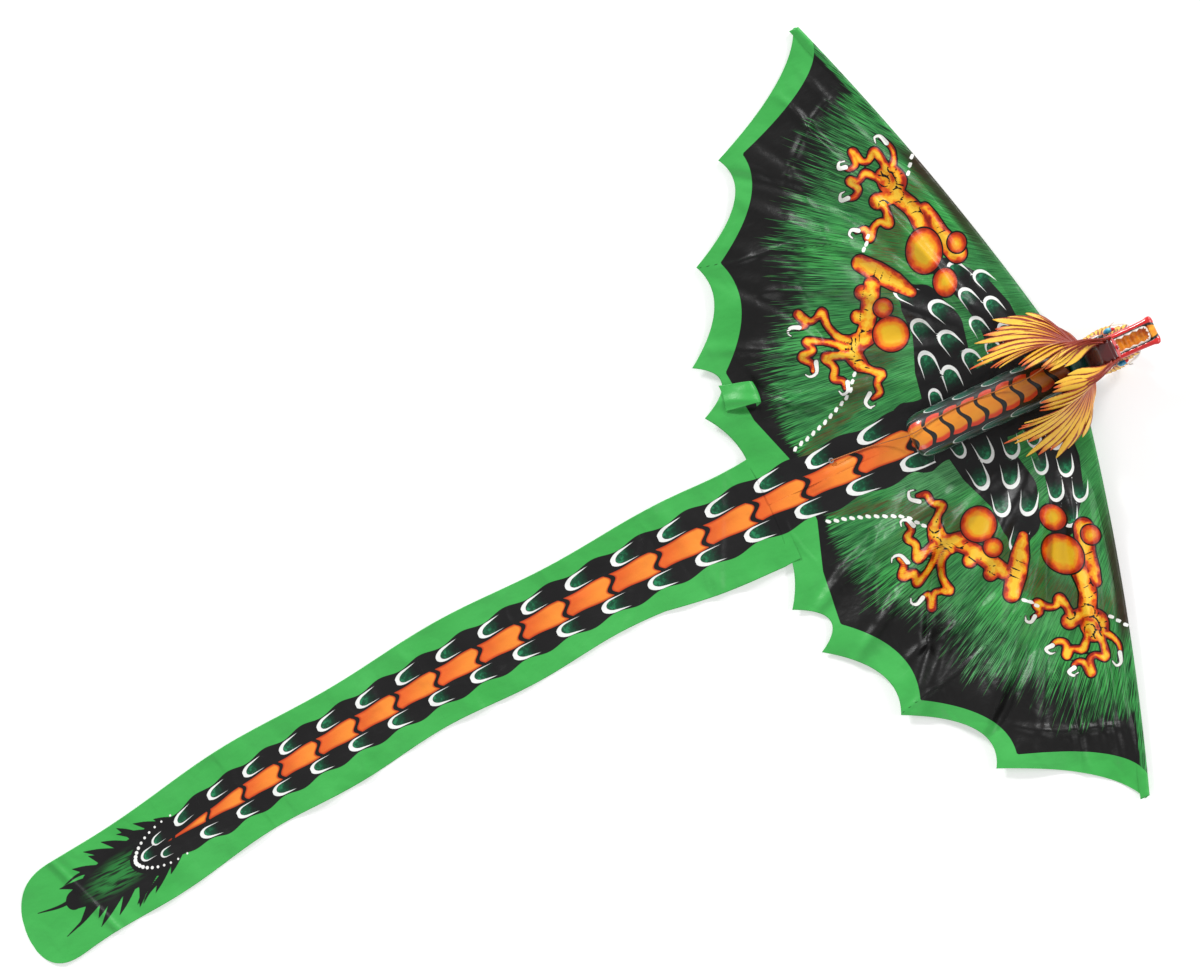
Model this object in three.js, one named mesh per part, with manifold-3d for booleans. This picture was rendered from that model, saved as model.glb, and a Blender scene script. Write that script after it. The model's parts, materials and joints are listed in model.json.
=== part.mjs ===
// A dragon kite with a carved three-dimensional head, lying belly up on a table.
// Millimetres, +Z up, +X towards the head, +Y towards the kite's left wing as it is seen here.
// The rigid airframe (body, head, spine) lies tipped by a few degrees, because it rests on the head's
// crests and on the rear end of its spine. Wings and tail are cloth and rest on the table.
import * as THREE from "three";
import { mergeVertices } from "three/addons/utils/BufferGeometryUtils.js";
import Module from "manifold-3d";

const wasm = await Module();
wasm.setup();

// ---- Driving dimensions ------------------------------------------------------------------------
const HALF_SPAN = 500; // centre line to wing tip
const SWEEP = 0.262; // how far the leading edge falls back for each mm outwards
const LEADING_BOW = 11; // the leading spar bends forward by this much at mid wing
const HINGE_Y = 33; // the wing bends along this line beside the body
const HINGE_GAP = 1.5; // half the gap between pieces that meet at a bending line
const WING_ROOT_END = -397; // where the wing's inner edge ends
const SPINE_END = -400; // rear end of the spine and front end of the loose tail
const TAIL_TIP = -1400;
const TAIL_BENDS = [SPINE_END, -700, -1000, -1310]; // the lines across which the tail bends
const CLOTH = 0.8; // thickness given to the cloth
const SPAR_R = 2.4; // bamboo wing spar
const SPINE_R = 2.5;
const BARREL_REAR = -212;
const BARREL_FRONT = -10;
const BARREL_HALF_WIDTH = 27;
const BARREL_TOP = 49;
const NECK_Z = 24; // height of the neck dowel over the sail
const MOUTH_X = 16; // corner of the mouth
const MOUTH_Z = 46;
const FIT = 0.3; // clearance between touching pieces
const REAR_Z = 6; // height of the sail over the table at the spine's rear end
const CREST_REACH = 26.3; // how far the crests reach behind the sail plane
const CREST_X = 50;
const TILT = Math.asin((CREST_REACH - REAR_Z) / (CREST_X - SPINE_END));

// ---- Helpers -----------------------------------------------------------------------------------
const vec = (x, y, z) => new THREE.Vector3(x, y, z);
const lerp = THREE.MathUtils.lerp;
const clamp = THREE.MathUtils.clamp;

// A geometry of merged points whose faces point outwards.
function closed(geometry) {
  const bare = new THREE.BufferGeometry();
  bare.setAttribute("position", geometry.getAttribute("position"));
  if (geometry.index) bare.setIndex(geometry.index);
  const merged = mergeVertices(bare, 1e-3);
  const p = merged.getAttribute("position");
  const index = merged.index.array;
  const [a, b, c] = [vec(), vec(), vec()];
  let volume = 0;
  for (let i = 0; i < index.length; i += 3) {
    a.fromBufferAttribute(p, index[i]);
    b.fromBufferAttribute(p, index[i + 1]);
    c.fromBufferAttribute(p, index[i + 2]);
    volume += a.dot(b.cross(c));
  }
  if (volume < 0)
    for (let i = 0; i < index.length; i += 3)
      [index[i + 1], index[i + 2]] = [index[i + 2], index[i + 1]];
  merged.computeVertexNormals();
  return merged;
}

// A closed skin over rings of points, each ring a list of the same length, with flat ends.
function loft(rings) {
  const n = rings[0].length;
  const points = rings.flat();
  const index = [];
  for (let r = 0; r + 1 < rings.length; r++)
    for (let i = 0; i < n; i++) {
      const [a, b] = [r * n + i, r * n + ((i + 1) % n)];
      index.push(a, b, b + n, a, b + n, a + n);
    }
  for (const [start, flip] of [[0, true], [(rings.length - 1) * n, false]])
    for (let i = 1; i + 1 < n; i++)
      index.push(start, start + (flip ? i + 1 : i), start + (flip ? i : i + 1));
  const geometry = new THREE.BufferGeometry().setFromPoints(points).setIndex(index);
  return closed(geometry);
}

// A sheet of the given thickness whose middle is at(s, t), with s and t from 0 to 1.
function sheet(at, sCells, tCells, thickness) {
  const small = 1e-3;
  const rings = [];
  for (let i = 0; i <= sCells; i++) {
    const [upper, lower] = [[], []];
    for (let j = 0; j <= tCells; j++) {
      const [s, t] = [i / sCells, j / tCells];
      const ds = at(Math.min(s + small, 1), t).sub(at(Math.max(s - small, 0), t));
      const dt = at(s, Math.min(t + small, 1)).sub(at(s, Math.max(t - small, 0)));
      const half = ds.cross(dt).normalize().multiplyScalar(thickness / 2);
      upper.push(at(s, t).add(half));
      lower.push(at(s, t).sub(half));
    }
    rings.push([...upper, ...lower.reverse()]);
  }
  return stripLoft(rings, tCells + 1);
}

// Like loft, but each end is closed as a ladder between its upper and lower row.
function stripLoft(rings, row) {
  const n = rings[0].length;
  const index = [];
  for (let r = 0; r + 1 < rings.length; r++)
    for (let i = 0; i < n; i++) {
      const [a, b] = [r * n + i, r * n + ((i + 1) % n)];
      index.push(a, b, b + n, a, b + n, a + n);
    }
  for (const [start, flip] of [[0, true], [(rings.length - 1) * n, false]])
    for (let j = 0; j + 1 < row; j++) {
      const [a, b] = [start + j, start + j + 1];
      const [c, d] = [start + n - 2 - j, start + n - 1 - j];
      index.push(...(flip ? [a, c, b, a, d, c] : [a, b, c, a, c, d]));
    }
  return closed(new THREE.BufferGeometry().setFromPoints(rings.flat()).setIndex(index));
}

// A bar of round section along a curve.
function rod(curve, radius, steps, sides = 10) {
  const shape = new THREE.Shape();
  for (let i = 0; i < sides; i++) {
    const angle = (2 * Math.PI * i) / sides;
    const corner = [radius * Math.cos(angle), radius * Math.sin(angle)];
    if (i) shape.lineTo(...corner);
    else shape.moveTo(...corner);
  }
  shape.closePath();
  return closed(new THREE.ExtrudeGeometry(shape, { extrudePath: curve, steps, curveSegments: 1 }));
}

// A plate with an outline of [x, z] points, from y - width/2 to y + width/2.
function plate(outline, width, y = 0) {
  const shape = new THREE.Shape(outline.map(([x, z]) => new THREE.Vector2(x, z)));
  const geometry = new THREE.ExtrudeGeometry(shape, { depth: width, bevelEnabled: false, steps: 1 });
  geometry.rotateX(Math.PI / 2).translate(0, y + width / 2, 0);
  return closed(geometry);
}

const mirrored = (geometry) => closed(geometry.clone().scale(1, -1, 1));
const line = (...points) => new THREE.CatmullRomCurve3(points, false, "centripetal");

function solid(geometry) {
  const bare = closed(geometry);
  return new wasm.Manifold(
    new wasm.Mesh({
      numProp: 3,
      vertProperties: new Float32Array(bare.getAttribute("position").array),
      triVerts: new Uint32Array(bare.index.array),
    }),
  );
}

// The first geometry with the others cut out of it.
function cut(geometry, ...tools) {
  const made = tools.reduce((body, tool) => body.subtract(solid(tool)), solid(geometry));
  const mesh = made.getMesh();
  const result = new THREE.BufferGeometry();
  result.setAttribute("position", new THREE.BufferAttribute(mesh.vertProperties, 3));
  result.setIndex(new THREE.BufferAttribute(mesh.triVerts, 1));
  return closed(result);
}

// ---- Materials ---------------------------------------------------------------------------------
const finish = (color, roughness, metalness = 0) =>
  new THREE.MeshStandardMaterial({ color, roughness, metalness });
const greenCloth = finish(0x3fae55, 0.4);
const bamboo = finish(0xcfa96a, 0.55);
const vinyl = finish(0x20231f, 0.5);
const bodyPaint = finish(0xe8951f, 0.35);
const tealPaint = finish(0x12424a, 0.35);
const redPaint = finish(0xc21f1f, 0.25);
const orangePaint = finish(0xe08a1c, 0.4);
const pinkPaint = finish(0xd9487f, 0.35);
const whitePlastic = finish(0xf2f0ea, 0.35);
const eyePaint = finish(0xf4f1e6, 0.2);
const maneLeather = finish(0xd98b2b, 0.5);
const steel = finish(0xb9babb, 0.3, 1);
const cord = finish(0xb0662f, 0.7);

const root = new THREE.Group();
const airframe = new THREE.Group();
airframe.rotation.y = -TILT;
airframe.position.set(SPINE_END - SPINE_END * Math.cos(TILT), 0, REAR_Z - SPINE_END * Math.sin(TILT));
root.add(airframe);

function add(parent, name, geometry, material) {
  const mesh = new THREE.Mesh(geometry, material);
  mesh.name = name;
  parent.add(mesh);
  return mesh;
}

// A left piece and its mirror image on the right.
function addPair(parent, name, geometry, material) {
  add(parent, `${name}_left`, geometry, material);
  add(parent, `${name}_right`, mirrored(geometry), material);
}

// ---- Wings -------------------------------------------------------------------------------------
// Height of the sail over the table at the wing root, and over the whole wing.
const rootHeight = (x) => REAR_Z + (x - SPINE_END) * Math.sin(TILT);
const TIP_Z = 5;
const outwards = (y) => clamp((y - HINGE_Y) / (HALF_SPAN - HINGE_Y), 0, 1);
const sailHeight = (x, y) => lerp(rootHeight(x), TIP_Z, outwards(y));

const leadingEdge = (y) => {
  const share = y / HALF_SPAN;
  return -SWEEP * y + 4 * LEADING_BOW * share * (1 - share);
};

// The scalloped trailing edge: points at [y, x], and how deep each bay is cut towards the front.
const POINTS = [[HINGE_Y, WING_ROOT_END], [48, -399], [124, -423], [184, -412], [290, -358],
  [394, -282], [HALF_SPAN, -136]];
const BAYS = [0, 8, 30, 26, 35, 26];
function trailingEdge(y) {
  const i = clamp(POINTS.findIndex(([py]) => py > y) - 1, 0, POINTS.length - 2);
  const bay = y >= HALF_SPAN ? POINTS.length - 2 : i;
  const [[y0, x0], [y1, x1]] = [POINTS[bay], POINTS[bay + 1]];
  const share = (y - y0) / (y1 - y0);
  return lerp(x0, x1, share) + BAYS[bay] * 4 * share * (1 - share);
}

// The pocket for the spar is a flattened sleeve of cloth along the leading edge.
const SLEEVE_ROOT = 64; // the sleeve starts outside the ferrule
const SLEEVE_TIP = 484;
const sleeveDepth = (y) => lerp(25, 12, outwards(y));
const SLEEVE_HALF_HEIGHT = 3.9;
const spineOfSleeve = (y) => vec(leadingEdge(y) - 4.5, y, sailHeight(leadingEdge(y), y) + 0.5);

function sleeveRing(y, wall) {
  const centre = spineOfSleeve(y);
  const back = centre.x - sleeveDepth(y) + 4.5 + wall * 1.5;
  const high = SLEEVE_HALF_HEIGHT - wall;
  const front = centre.x + 4.2 - wall;
  const mid = lerp(front, back, 0.45);
  const outline = [[front, 0.45], [lerp(front, mid, 0.4), 1], [mid, 0.9], [back, 0.45 / high]];
  const [above, below] = [1, -1].map((side) =>
    outline.map(([x, share]) => vec(x, y, centre.z + side * high * share)));
  return [...above, ...below.reverse()];
}

function wingSleeve() {
  const stations = Array.from({ length: 13 }, (_, i) => lerp(SLEEVE_ROOT, SLEEVE_TIP, i / 12));
  const outer = loft(stations.map((y) => sleeveRing(y, 0)));
  const holeEnds = [SLEEVE_ROOT - 2, ...stations.slice(1, -1), SLEEVE_TIP + 2];
  return cut(outer, loft(holeEnds.map((y) => sleeveRing(y, 0.7))));
}

function wingSail() {
  // The sail starts behind the sleeve, and is cut back to a straight line beside the body.
  const first = HINGE_Y + HINGE_GAP;
  const last = HALF_SPAN - 14;
  const stops = POINTS.map(([y]) => y).filter((y) => y > first && y < last);
  const stations = [first, ...stops, last];
  const cellsPerBay = 5;
  const ys = stations.slice(1).flatMap((y, i) =>
    Array.from({ length: cellsPerBay }, (_, k) => lerp(stations[i], y, k / cellsPerBay)));
  ys.push(last);
  const at = (s, t) => {
    const k = Math.min(s * (ys.length - 1), ys.length - 1);
    const low = Math.min(Math.floor(k), ys.length - 2);
    const y = lerp(ys[low], ys[low + 1], k - low);
    const front = leadingEdge(y) - sleeveDepth(y) - 0.6;
    const x = lerp(front, Math.min(trailingEdge(y), front - 1), t);
    return vec(x, y, sailHeight(x, y));
  };
  return sheet(at, ys.length - 1, 7, CLOTH);
}

const SPAR_START = HINGE_Y + HINGE_GAP + 1;
const sparPoint = spineOfSleeve;
const sparCurve = (from, to) =>
  line(...Array.from({ length: 7 }, (_, i) => sparPoint(lerp(from, to, i / 6))));

// The spar's inner end is pushed into a short vinyl ferrule, which ends before the sleeve starts.
const SPAR_INNER_END = 42;
const FERRULE_END = 61;
function ferrule() {
  const tube = rod(sparCurve(SPAR_START, FERRULE_END), SPAR_R + 1.1, 6);
  return cut(tube, rod(sparCurve(SPAR_INNER_END - 1, FERRULE_END + 3), SPAR_R + FIT, 6));
}

const leftSpar = rod(sparCurve(SPAR_INNER_END, HALF_SPAN - 8), SPAR_R, 18, 8);
addPair(root, "wing_spar", leftSpar, bamboo);
addPair(root, "wing_sail", wingSail(), greenCloth);

addPair(root, "spar_sleeve", wingSleeve(), greenCloth);
addPair(root, "spar_ferrule", ferrule(), vinyl);

// A vinyl cap keeps the spar from working through the cloth at the wing tip.
function tipCap() {
  const cap = rod(line(sparPoint(SLEEVE_TIP + 2), sparPoint(HALF_SPAN - 4)), SPAR_R + 1.3, 2);
  return cut(cap, rod(line(sparPoint(SLEEVE_TIP - 4), sparPoint(HALF_SPAN - 7)), SPAR_R + FIT, 2));
}
addPair(root, "spar_cap", tipCap(), vinyl);

// ---- Tail --------------------------------------------------------------------------------------
// The tail is one long ribbon that lies in a slight curve. Each stretch between bends is a piece.
const TAIL_CURVE = new THREE.CatmullRomCurve3(
  [vec(SPINE_END, 0, 0), vec(-600, -8, 0), vec(-800, -20, 0), vec(-1000, -38, 0),
    vec(-1200, -60, 0), vec(-1320, -80, 0), vec(TAIL_TIP, -101, 0)]);
function tailCentre(x) {
  let [low, high] = [0, 1];
  for (let i = 0; i < 30; i++) {
    const middle = (low + high) / 2;
    if (TAIL_CURVE.getPoint(middle).x > x) low = middle;
    else high = middle;
  }
  return TAIL_CURVE.getPoint(low).y;
}
const TAIL_HALF = 61;
function tailHalfWidth(x) {
  const flare = clamp((SPINE_END - x) / 45, 0, 1);
  const width = lerp(44, TAIL_HALF, flare * (2 - flare)) - 4 * clamp((-900 - x) / 400, 0, 1);
  const rounding = clamp((x - TAIL_TIP) / 62, 0, 1);
  return width * Math.sqrt(Math.max(1 - (1 - rounding) ** 2, 0.12));
}
const tailHeight = (x) => {
  const down = clamp((SPINE_END - x) / 120, 0, 1);
  return lerp(REAR_Z, 0.8, down * (2 - down));
};

function tailPiece(from, to) {
  const at = (s, t) => {
    const x = lerp(from - HINGE_GAP, to + (to === TAIL_TIP ? 0 : HINGE_GAP), s);
    return vec(x, tailCentre(x) + tailHalfWidth(x) * (1 - 2 * t), tailHeight(x));
  };
  return sheet(at, to === TAIL_TIP ? 8 : 10, 4, CLOTH);
}
const TAIL_NAMES = ["tail_front", "tail_middle", "tail_rear", "tail_end"];
TAIL_NAMES.forEach((name, i) =>
  add(root, name, tailPiece(TAIL_BENDS[i], TAIL_BENDS[i + 1] ?? TAIL_TIP), greenCloth));

// ---- Airframe: cloth, spine and shoulder ---------------------------------------------------------
// Everything from here on is in the airframe's own frame, where the sail is the plane z = 0.
const CENTRE_FRONT = -6;
const CENTRE_HALF = HINGE_Y - HINGE_GAP;
add(airframe, "sail_centre", sheet((s, t) => vec(lerp(CENTRE_FRONT, SPINE_END + HINGE_GAP, s),
  lerp(-CENTRE_HALF, CENTRE_HALF, t), 0), 6, 2, CLOTH), greenCloth);

const SPINE_Z = -(CLOTH / 2 + FIT + SPINE_R);
const spineHole = (x) => rod(line(vec(x, 0, -9), vec(x, 0, 9)), 1.5, 1, 12);
const SCREW_X = [-60, -180];
add(airframe, "spine_rod", cut(rod(line(vec(-12, 0, SPINE_Z), vec(SPINE_END, 0, SPINE_Z)), SPINE_R, 4),
  ...SCREW_X.map(spineHole)), bamboo);

// The shoulder block lies across the spine and holds a vinyl tube for each wing spar.
const SHOULDER_X = [-26, 2];
const BLOCK_BOTTOM = -12;
const sparRoot = sparPoint(HINGE_Y);
const socketHeight = 0.5;
function shoulderBlock() {
  const outline = [[SHOULDER_X[0], -1], [SHOULDER_X[0], BLOCK_BOTTOM + 3], [SHOULDER_X[0] + 4, BLOCK_BOTTOM],
    [SHOULDER_X[1] - 4, BLOCK_BOTTOM], [SHOULDER_X[1], BLOCK_BOTTOM + 3], [SHOULDER_X[1], -1]];
  const room = rod(line(vec(10, 0, SPINE_Z), vec(-40, 0, SPINE_Z)), SPINE_R + FIT, 1, 12);
  return cut(plate(outline, 44), room);
}
add(airframe, "shoulder_block", shoulderBlock(), bamboo);

// Each socket is a stub of vinyl tube outside the block's end, in line with the spar.
function shoulderSocket() {
  const inner = vec(sparRoot.x + 1.6, 24, socketHeight - 5.2);
  const outer = vec(sparRoot.x, HINGE_Y - HINGE_GAP - 1.4, socketHeight - 5.2);
  return rod(line(inner, outer), 3.6, 2);
}
addPair(airframe, "shoulder_socket", shoulderSocket(), vinyl);

// ---- Airframe: body ------------------------------------------------------------------------------
// The body is carved from light wood: flat under, round over, blunt behind and drawn in at the neck.
function barrelRing(x, halfWidth, top, bottom) {
  const sides = 20;
  const middle = (top + bottom) / 2;
  return Array.from({ length: sides }, (_, i) => {
    const angle = (2 * Math.PI * (i + 0.5)) / sides;
    const [c, s] = [Math.cos(angle), Math.sin(angle)];
    const flat = s < 0 ? 0.72 : 0.92;
    const across = Math.sign(c) * Math.abs(c) ** flat;
    const up = Math.sign(s) * Math.abs(s) ** flat;
    return vec(x, halfWidth * across, middle + ((top - bottom) / 2) * up);
  });
}
const BARREL_BOTTOM = CLOTH / 2 + FIT;
const BARREL_STATIONS = [[BARREL_REAR, 12, 34, 7], [BARREL_REAR + 2, 18, 40, 4],
  [BARREL_REAR + 7, 24, 46, 1.6], [BARREL_REAR + 16, 26.6, 48.6, BARREL_BOTTOM],
  [BARREL_REAR + 40, BARREL_HALF_WIDTH, BARREL_TOP, BARREL_BOTTOM],
  [-60, BARREL_HALF_WIDTH, BARREL_TOP, BARREL_BOTTOM], [-36, 25, 48, BARREL_BOTTOM],
  [-22, 21, 46, 2], [BARREL_FRONT, 17, 43, 5]];
const dowelCurve = (from, to) => line(vec(from, 0, NECK_Z), vec(to, 0, NECK_Z));
const DOWEL = [-44, 22];
const DOWEL_R = 5;
function barrel() {
  const skin = loft(BARREL_STATIONS.map((station) => barrelRing(...station)));
  const screws = SCREW_X.map((x) => rod(line(vec(x, 0, -4), vec(x, 0, 17)), 1.5, 1, 12));
  return cut(skin, rod(dowelCurve(DOWEL[0] - 0.4, 10), DOWEL_R + FIT, 1, 14), ...screws);
}
add(airframe, "body_barrel", barrel(), bodyPaint);
add(airframe, "neck_dowel", rod(dowelCurve(...DOWEL), DOWEL_R, 1, 14), bamboo);

// Two wood screws hold the body to the spine through the cloth.
function woodScrew(x) {
  const head = SPINE_Z - SPINE_R - FIT;
  const profile = [[0, 0], [3, 0], [3, 1.2], [1.2, 2], [1.2, 20], [0, 22.5]];
  const points = profile.map(([r, z]) => new THREE.Vector2(r, z));
  return closed(new THREE.LatheGeometry(points, 12).rotateX(Math.PI / 2).translate(x, 0, head - 1.9));
}
const clothHoles = SCREW_X.map(spineHole);
["front", "rear"].forEach((where, i) =>
  add(airframe, `body_screw_${where}`, woodScrew(SCREW_X[i]), steel));
const centre = airframe.getObjectByName("sail_centre");
centre.geometry = cut(centre.geometry, ...clothHoles);

// ---- Airframe: head --------------------------------------------------------------------------------
// Head outlines are [forward, dorsal] from the corner of the mouth. Dorsal is down here.
const head = (outline) => outline.map(([f, d]) => [MOUTH_X + f, MOUTH_Z - d]);
const at = (f, d, y) => vec(MOUTH_X + f, y, MOUTH_Z - d);
const HEAD_WIDTH = 31;

const SKULL = [[-25.5, 3], [-25.5, 42], [-10, 45], [14, 46], [30, 42], [36, 33], [35, 26.6], [10, 19.6],
  [-1, 11], [-5, 3]];
const dowelRoom = rod(dowelCurve(-20, DOWEL[1] + 0.4), DOWEL_R + FIT, 1, 14);
add(airframe, "skull", cut(plate(head(SKULL), HEAD_WIDTH + 3), dowelRoom), tealPaint);

const UPPER_JAW = [[-1, 10.4], [2, 4], [10, 7], [28, 9], [47, 7], [68, 2], [80, 2], [85, 8], [84, 15],
  [73, 24], [55, 27], [36, 26.2], [10, 19]];
const palateRecess = plate(head([[8, 2], [60, 2], [73, -2], [73, 5], [60, 12], [30, 16], [12, 13]]), 19);
add(airframe, "upper_jaw", cut(plate(head(UPPER_JAW), HEAD_WIDTH), palateRecess), redPaint);

const LOWER_JAW = [[-5, 2], [0, 1.5], [-0.5, -17], [6, -31], [14, -48], [30, -53], [33, -61],
  [17, -68], [11, -64], [2, -44], [-5, -14]];
const tongueRoom = plate(head([[6, -20], [0.5, -10], [8, -8], [18, -26], [22, -44], [40, -46], [40, -64], [26, -66], [12, -58], [5, -44], [2, -26]]), 17);
add(airframe, "lower_jaw", cut(plate(head(LOWER_JAW), HEAD_WIDTH - 2), tongueRoom), redPaint);

// The roof of the mouth, the tongue and the teeth are thin pieces glued into the jaws.
add(airframe, "palate", plate(head([[13, 12.2], [30, 15.2], [60, 11.4], [72, 4.8], [72, 3.4], [60, 9.6],
  [30, 13.4], [14, 10.8]]), 17.5), orangePaint);

const TONGUE = [[2.5, -12], [9, -18], [13, -32], [12, -40], [17, -50], [27, -54], [33, -60]];
const tongueSheet = (s, t) => {
  const p = line(...TONGUE.map(([f, d]) => at(f, d, 0))).getPoint(s);
  return vec(p.x, lerp(-3.4, 3.4, t) * (1 - 0.35 * s), p.z);
};
add(airframe, "tongue", sheet(tongueSheet, 14, 2, 1.4), pinkPaint);

// A row of teeth is one strip with points cut into it. The gum line runs from start to end.
function toothRow(start, end, count, length, side) {
  const along = [end[0] - start[0], end[1] - start[1]];
  const outline = [start];
  for (let i = 0; i < count; i++) {
    const foot = (k) => [start[0] + along[0] * k, start[1] + along[1] * k];
    const size = Math.hypot(...along);
    const point = foot((i + 0.62) / count);
    const reach = length * (1 - 0.35 * ((i * 2) % 3) / 2);
    outline.push([point[0] + (side * along[1] * reach) / size, point[1] - (side * along[0] * reach) / size]);
    outline.push(foot((i + 1) / count));
  }
  const back = 2;
  const size = Math.hypot(...along);
  const shift = ([f, d]) => [f - (side * along[1] * back) / size, d + (side * along[0] * back) / size];
  return [...outline, shift(end), shift(start)];
}
const upperTeeth = toothRow([16, 7.8], [64, 3.6], 6, 7, 1);
const lowerTeeth = toothRow([6.5, -22], [24, -49.5], 5, 7, -1);
addPair(airframe, "upper_teeth", plate(head(upperTeeth), 0.9, 8.8), whitePlastic);
addPair(airframe, "lower_teeth", plate(head(lowerTeeth), 0.9, 7.6), whitePlastic);

// The nose is a low ridge with two nostrils on top of the snout.
add(airframe, "nose", plate(head([[56, 27.4], [74, 24.4], [82, 19], [80, 25], [70, 31], [60, 31]]), 20), redPaint);

const EYE = [15, 33];
const SKULL_SIDE = (HEAD_WIDTH + 3) / 2;
function dome(radius, height, f, d, y) {
  const sides = 16;
  const arc = Array.from({ length: 6 }, (_, i) => (Math.PI / 2) * (i / 5));
  const points = [new THREE.Vector2(0, 0),
    ...arc.map((a) => new THREE.Vector2(Math.max(radius * Math.cos(a), 0), 0.4 + height * Math.sin(a)))];
  points[points.length - 1].x = 0;
  return closed(new THREE.LatheGeometry(points, sides).translate(MOUTH_X + f, y, MOUTH_Z - d));
}
addPair(airframe, "eye", dome(8.2, 6, ...EYE, SKULL_SIDE + FIT), eyePaint);

// The black rim round each eye is a raised ring.
function eyeRim() {
  const profile = [[8.8, 0], [12.4, 0], [11.8, 2.6], [9.4, 3]].map(([r, y]) => new THREE.Vector2(r, y));
  return closed(new THREE.LatheGeometry([...profile, profile[0].clone()], 20)
    .translate(MOUTH_X + EYE[0], SKULL_SIDE + FIT, MOUTH_Z - EYE[1]));
}
addPair(airframe, "eye_rim", eyeRim(), vinyl);

// Brow: a ridge between the eye and the snout.
addPair(airframe, "brow", plate(head([[29, 41.5], [29, 30], [36, 28], [43, 27.6], [41, 31], [37, 35]]), 6, 20.4), tealPaint);

// Crest: a pleated fan behind each eye that splays outwards. The airframe rests on the two crests.
const CREST_FOOT = [at(2, 46.6, 16), at(12, 47.4, 16.4), at(22, 46, 16.4), at(29, 43.6, 16)];
const CREST_EDGE = [at(4, 61, 23), at(16, 69.6, 26), at(30, 72, 27), at(41, 66, 25)];
const [crestFoot, crestEdge] = [line(...CREST_FOOT), line(...CREST_EDGE)];
addPair(airframe, "crest", sheet((s, t) => crestFoot.getPoint(s).lerp(crestEdge.getPoint(s), t), 8, 4, 1.3),
  maneLeather);

// Cheek leaf: a small pointed leaf under each eye.
addPair(airframe, "cheek_leaf", sheet((s, t) => {
  const p = line(at(-13, 30, 20), at(-2, 23.5, 21.5), at(9, 19.5, 20.5)).getPoint(s);
  const wide = 1 + 7 * Math.sin(Math.PI * clamp(s * 1.02, 0.02, 1));
  return vec(p.x + wide * 0.25 * (t - 0.5), p.y + wide * 0.3 * (0.5 - t), p.z + wide * (0.5 - t));
}, 8, 2, 1.0), maneLeather);

// Whisker: a thin curled strip beside the nose.
const WHISKER = [[60, 33, 10.8], [59, 40, 14], [58, 51, 18], [52, 59, 22], [44, 58, 24], [42, 51, 26],
  [47, 46, 27]];
addPair(airframe, "whisker", sheet((s, t) => {
  const p = line(...WHISKER.map((w) => at(...w))).getPoint(s);
  return vec(p.x, p.y + 2.4 * (t - 0.5), p.z);
}, 18, 1, 0.8), whitePlastic);

// Mane: a pleated fan of thin leather along the lower jaw and the cheek, open to the back.
const MANE_FOOT = [[9, -62, 15.6], [0, -38, 16], [-6, -15, 17.2], [-7, 4, 18.4], [-3, 14, 18.8]];
const MANE_EDGE = [[-22, -72, 10], [-46, -73, 15], [-65, -66, 26], [-91, -54, 33], [-117, -35, 42],
  [-106, -14, 60], [-92, 2, 74], [-65, 13, 78], [-40, 21, 70], [-27, 31, 50], [-20, 36, 38]];
const [maneFoot, maneEdge] = [MANE_FOOT, MANE_EDGE].map((list) => line(...list.map((p) => at(...p))));
const maneSheet = (s, t) => {
  const [foot, edge] = [maneFoot.getPoint(s), maneEdge.getPoint(s)];
  const p = foot.clone().lerp(edge, t);
  const bulge = 4 * t * (1 - t) * 5;
  return vec(p.x, p.y + bulge * 0.6, p.z);
};
addPair(airframe, "mane", sheet(maneSheet, 20, 6, 1.4), maneLeather);

// ---- Bridle ----------------------------------------------------------------------------------------
// A thin cord runs from an eye on the lower jaw, over the mane, along the belly and down to an eyelet
// in the sail, where it is tied round the spine.
const CORD_R = 0.7;
const JAW_EYE = vec(24.5, 18, 93);
const EYELET = vec(-308, 17, CLOTH / 2 + FIT);
const jawEye = new THREE.TorusGeometry(2.5, 0.7, 6, 14).rotateY(Math.PI / 2);
add(airframe, "jaw_eye", closed(jawEye.translate(...JAW_EYE)), steel);

const eyeletProfile = [[1.5, 0], [3.6, 0], [3.2, 0.9], [1.8, 0.9], [1.5, 0]];
const eyelet = new THREE.LatheGeometry(eyeletProfile.map(([r, z]) => new THREE.Vector2(r, z)), 16);
add(airframe, "sail_eyelet", closed(eyelet.rotateX(Math.PI / 2).translate(...EYELET)), steel);
const eyeletHole = rod(line(vec(EYELET.x, EYELET.y, 4), vec(EYELET.x, EYELET.y, -4)), 1.5, 1, 12);
centre.geometry = cut(centre.geometry, eyeletHole);

const BRIDLE = [vec(25.5, 18, 93), vec(19, 20.2, 95.5), vec(8, 23.5, 101), vec(-6, 24.5, 110),
  vec(-20, 20.5, 119), vec(-30, 16.5, 121.5), vec(-38, 14.2, 118), vec(-48, 12, 103), vec(-58, 10.4, 84),
  vec(-70, 10, 66), vec(-86, 10.8, 54), vec(-112, 12, 49.4), vec(-142, 13.5, 48.4), vec(-178, 11, 49.2),
  vec(-203, 7, 49.4), vec(-214, 6.8, 43), vec(-222, 7.6, 27), vec(-232, 9, 11), vec(-246, 11, 3),
  vec(-264, 13.4, 1.6), vec(-288, 15.6, 1.6), vec(-301, 16.4, 2.6), vec(-307.4, 16.9, 3)];
add(airframe, "bridle_line", rod(line(...BRIDLE), CORD_R, 78, 8), cord);

const BRIDLE_TIE = [vec(-308, 17, 1.4), vec(-308, 17, -0.8), vec(-308, 15, -2.8), vec(-308, 9, -3.2),
  vec(-308, 3.9, SPINE_Z)];
add(airframe, "bridle_tie", rod(line(...BRIDLE_TIE), CORD_R, 14, 8), cord);

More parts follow.
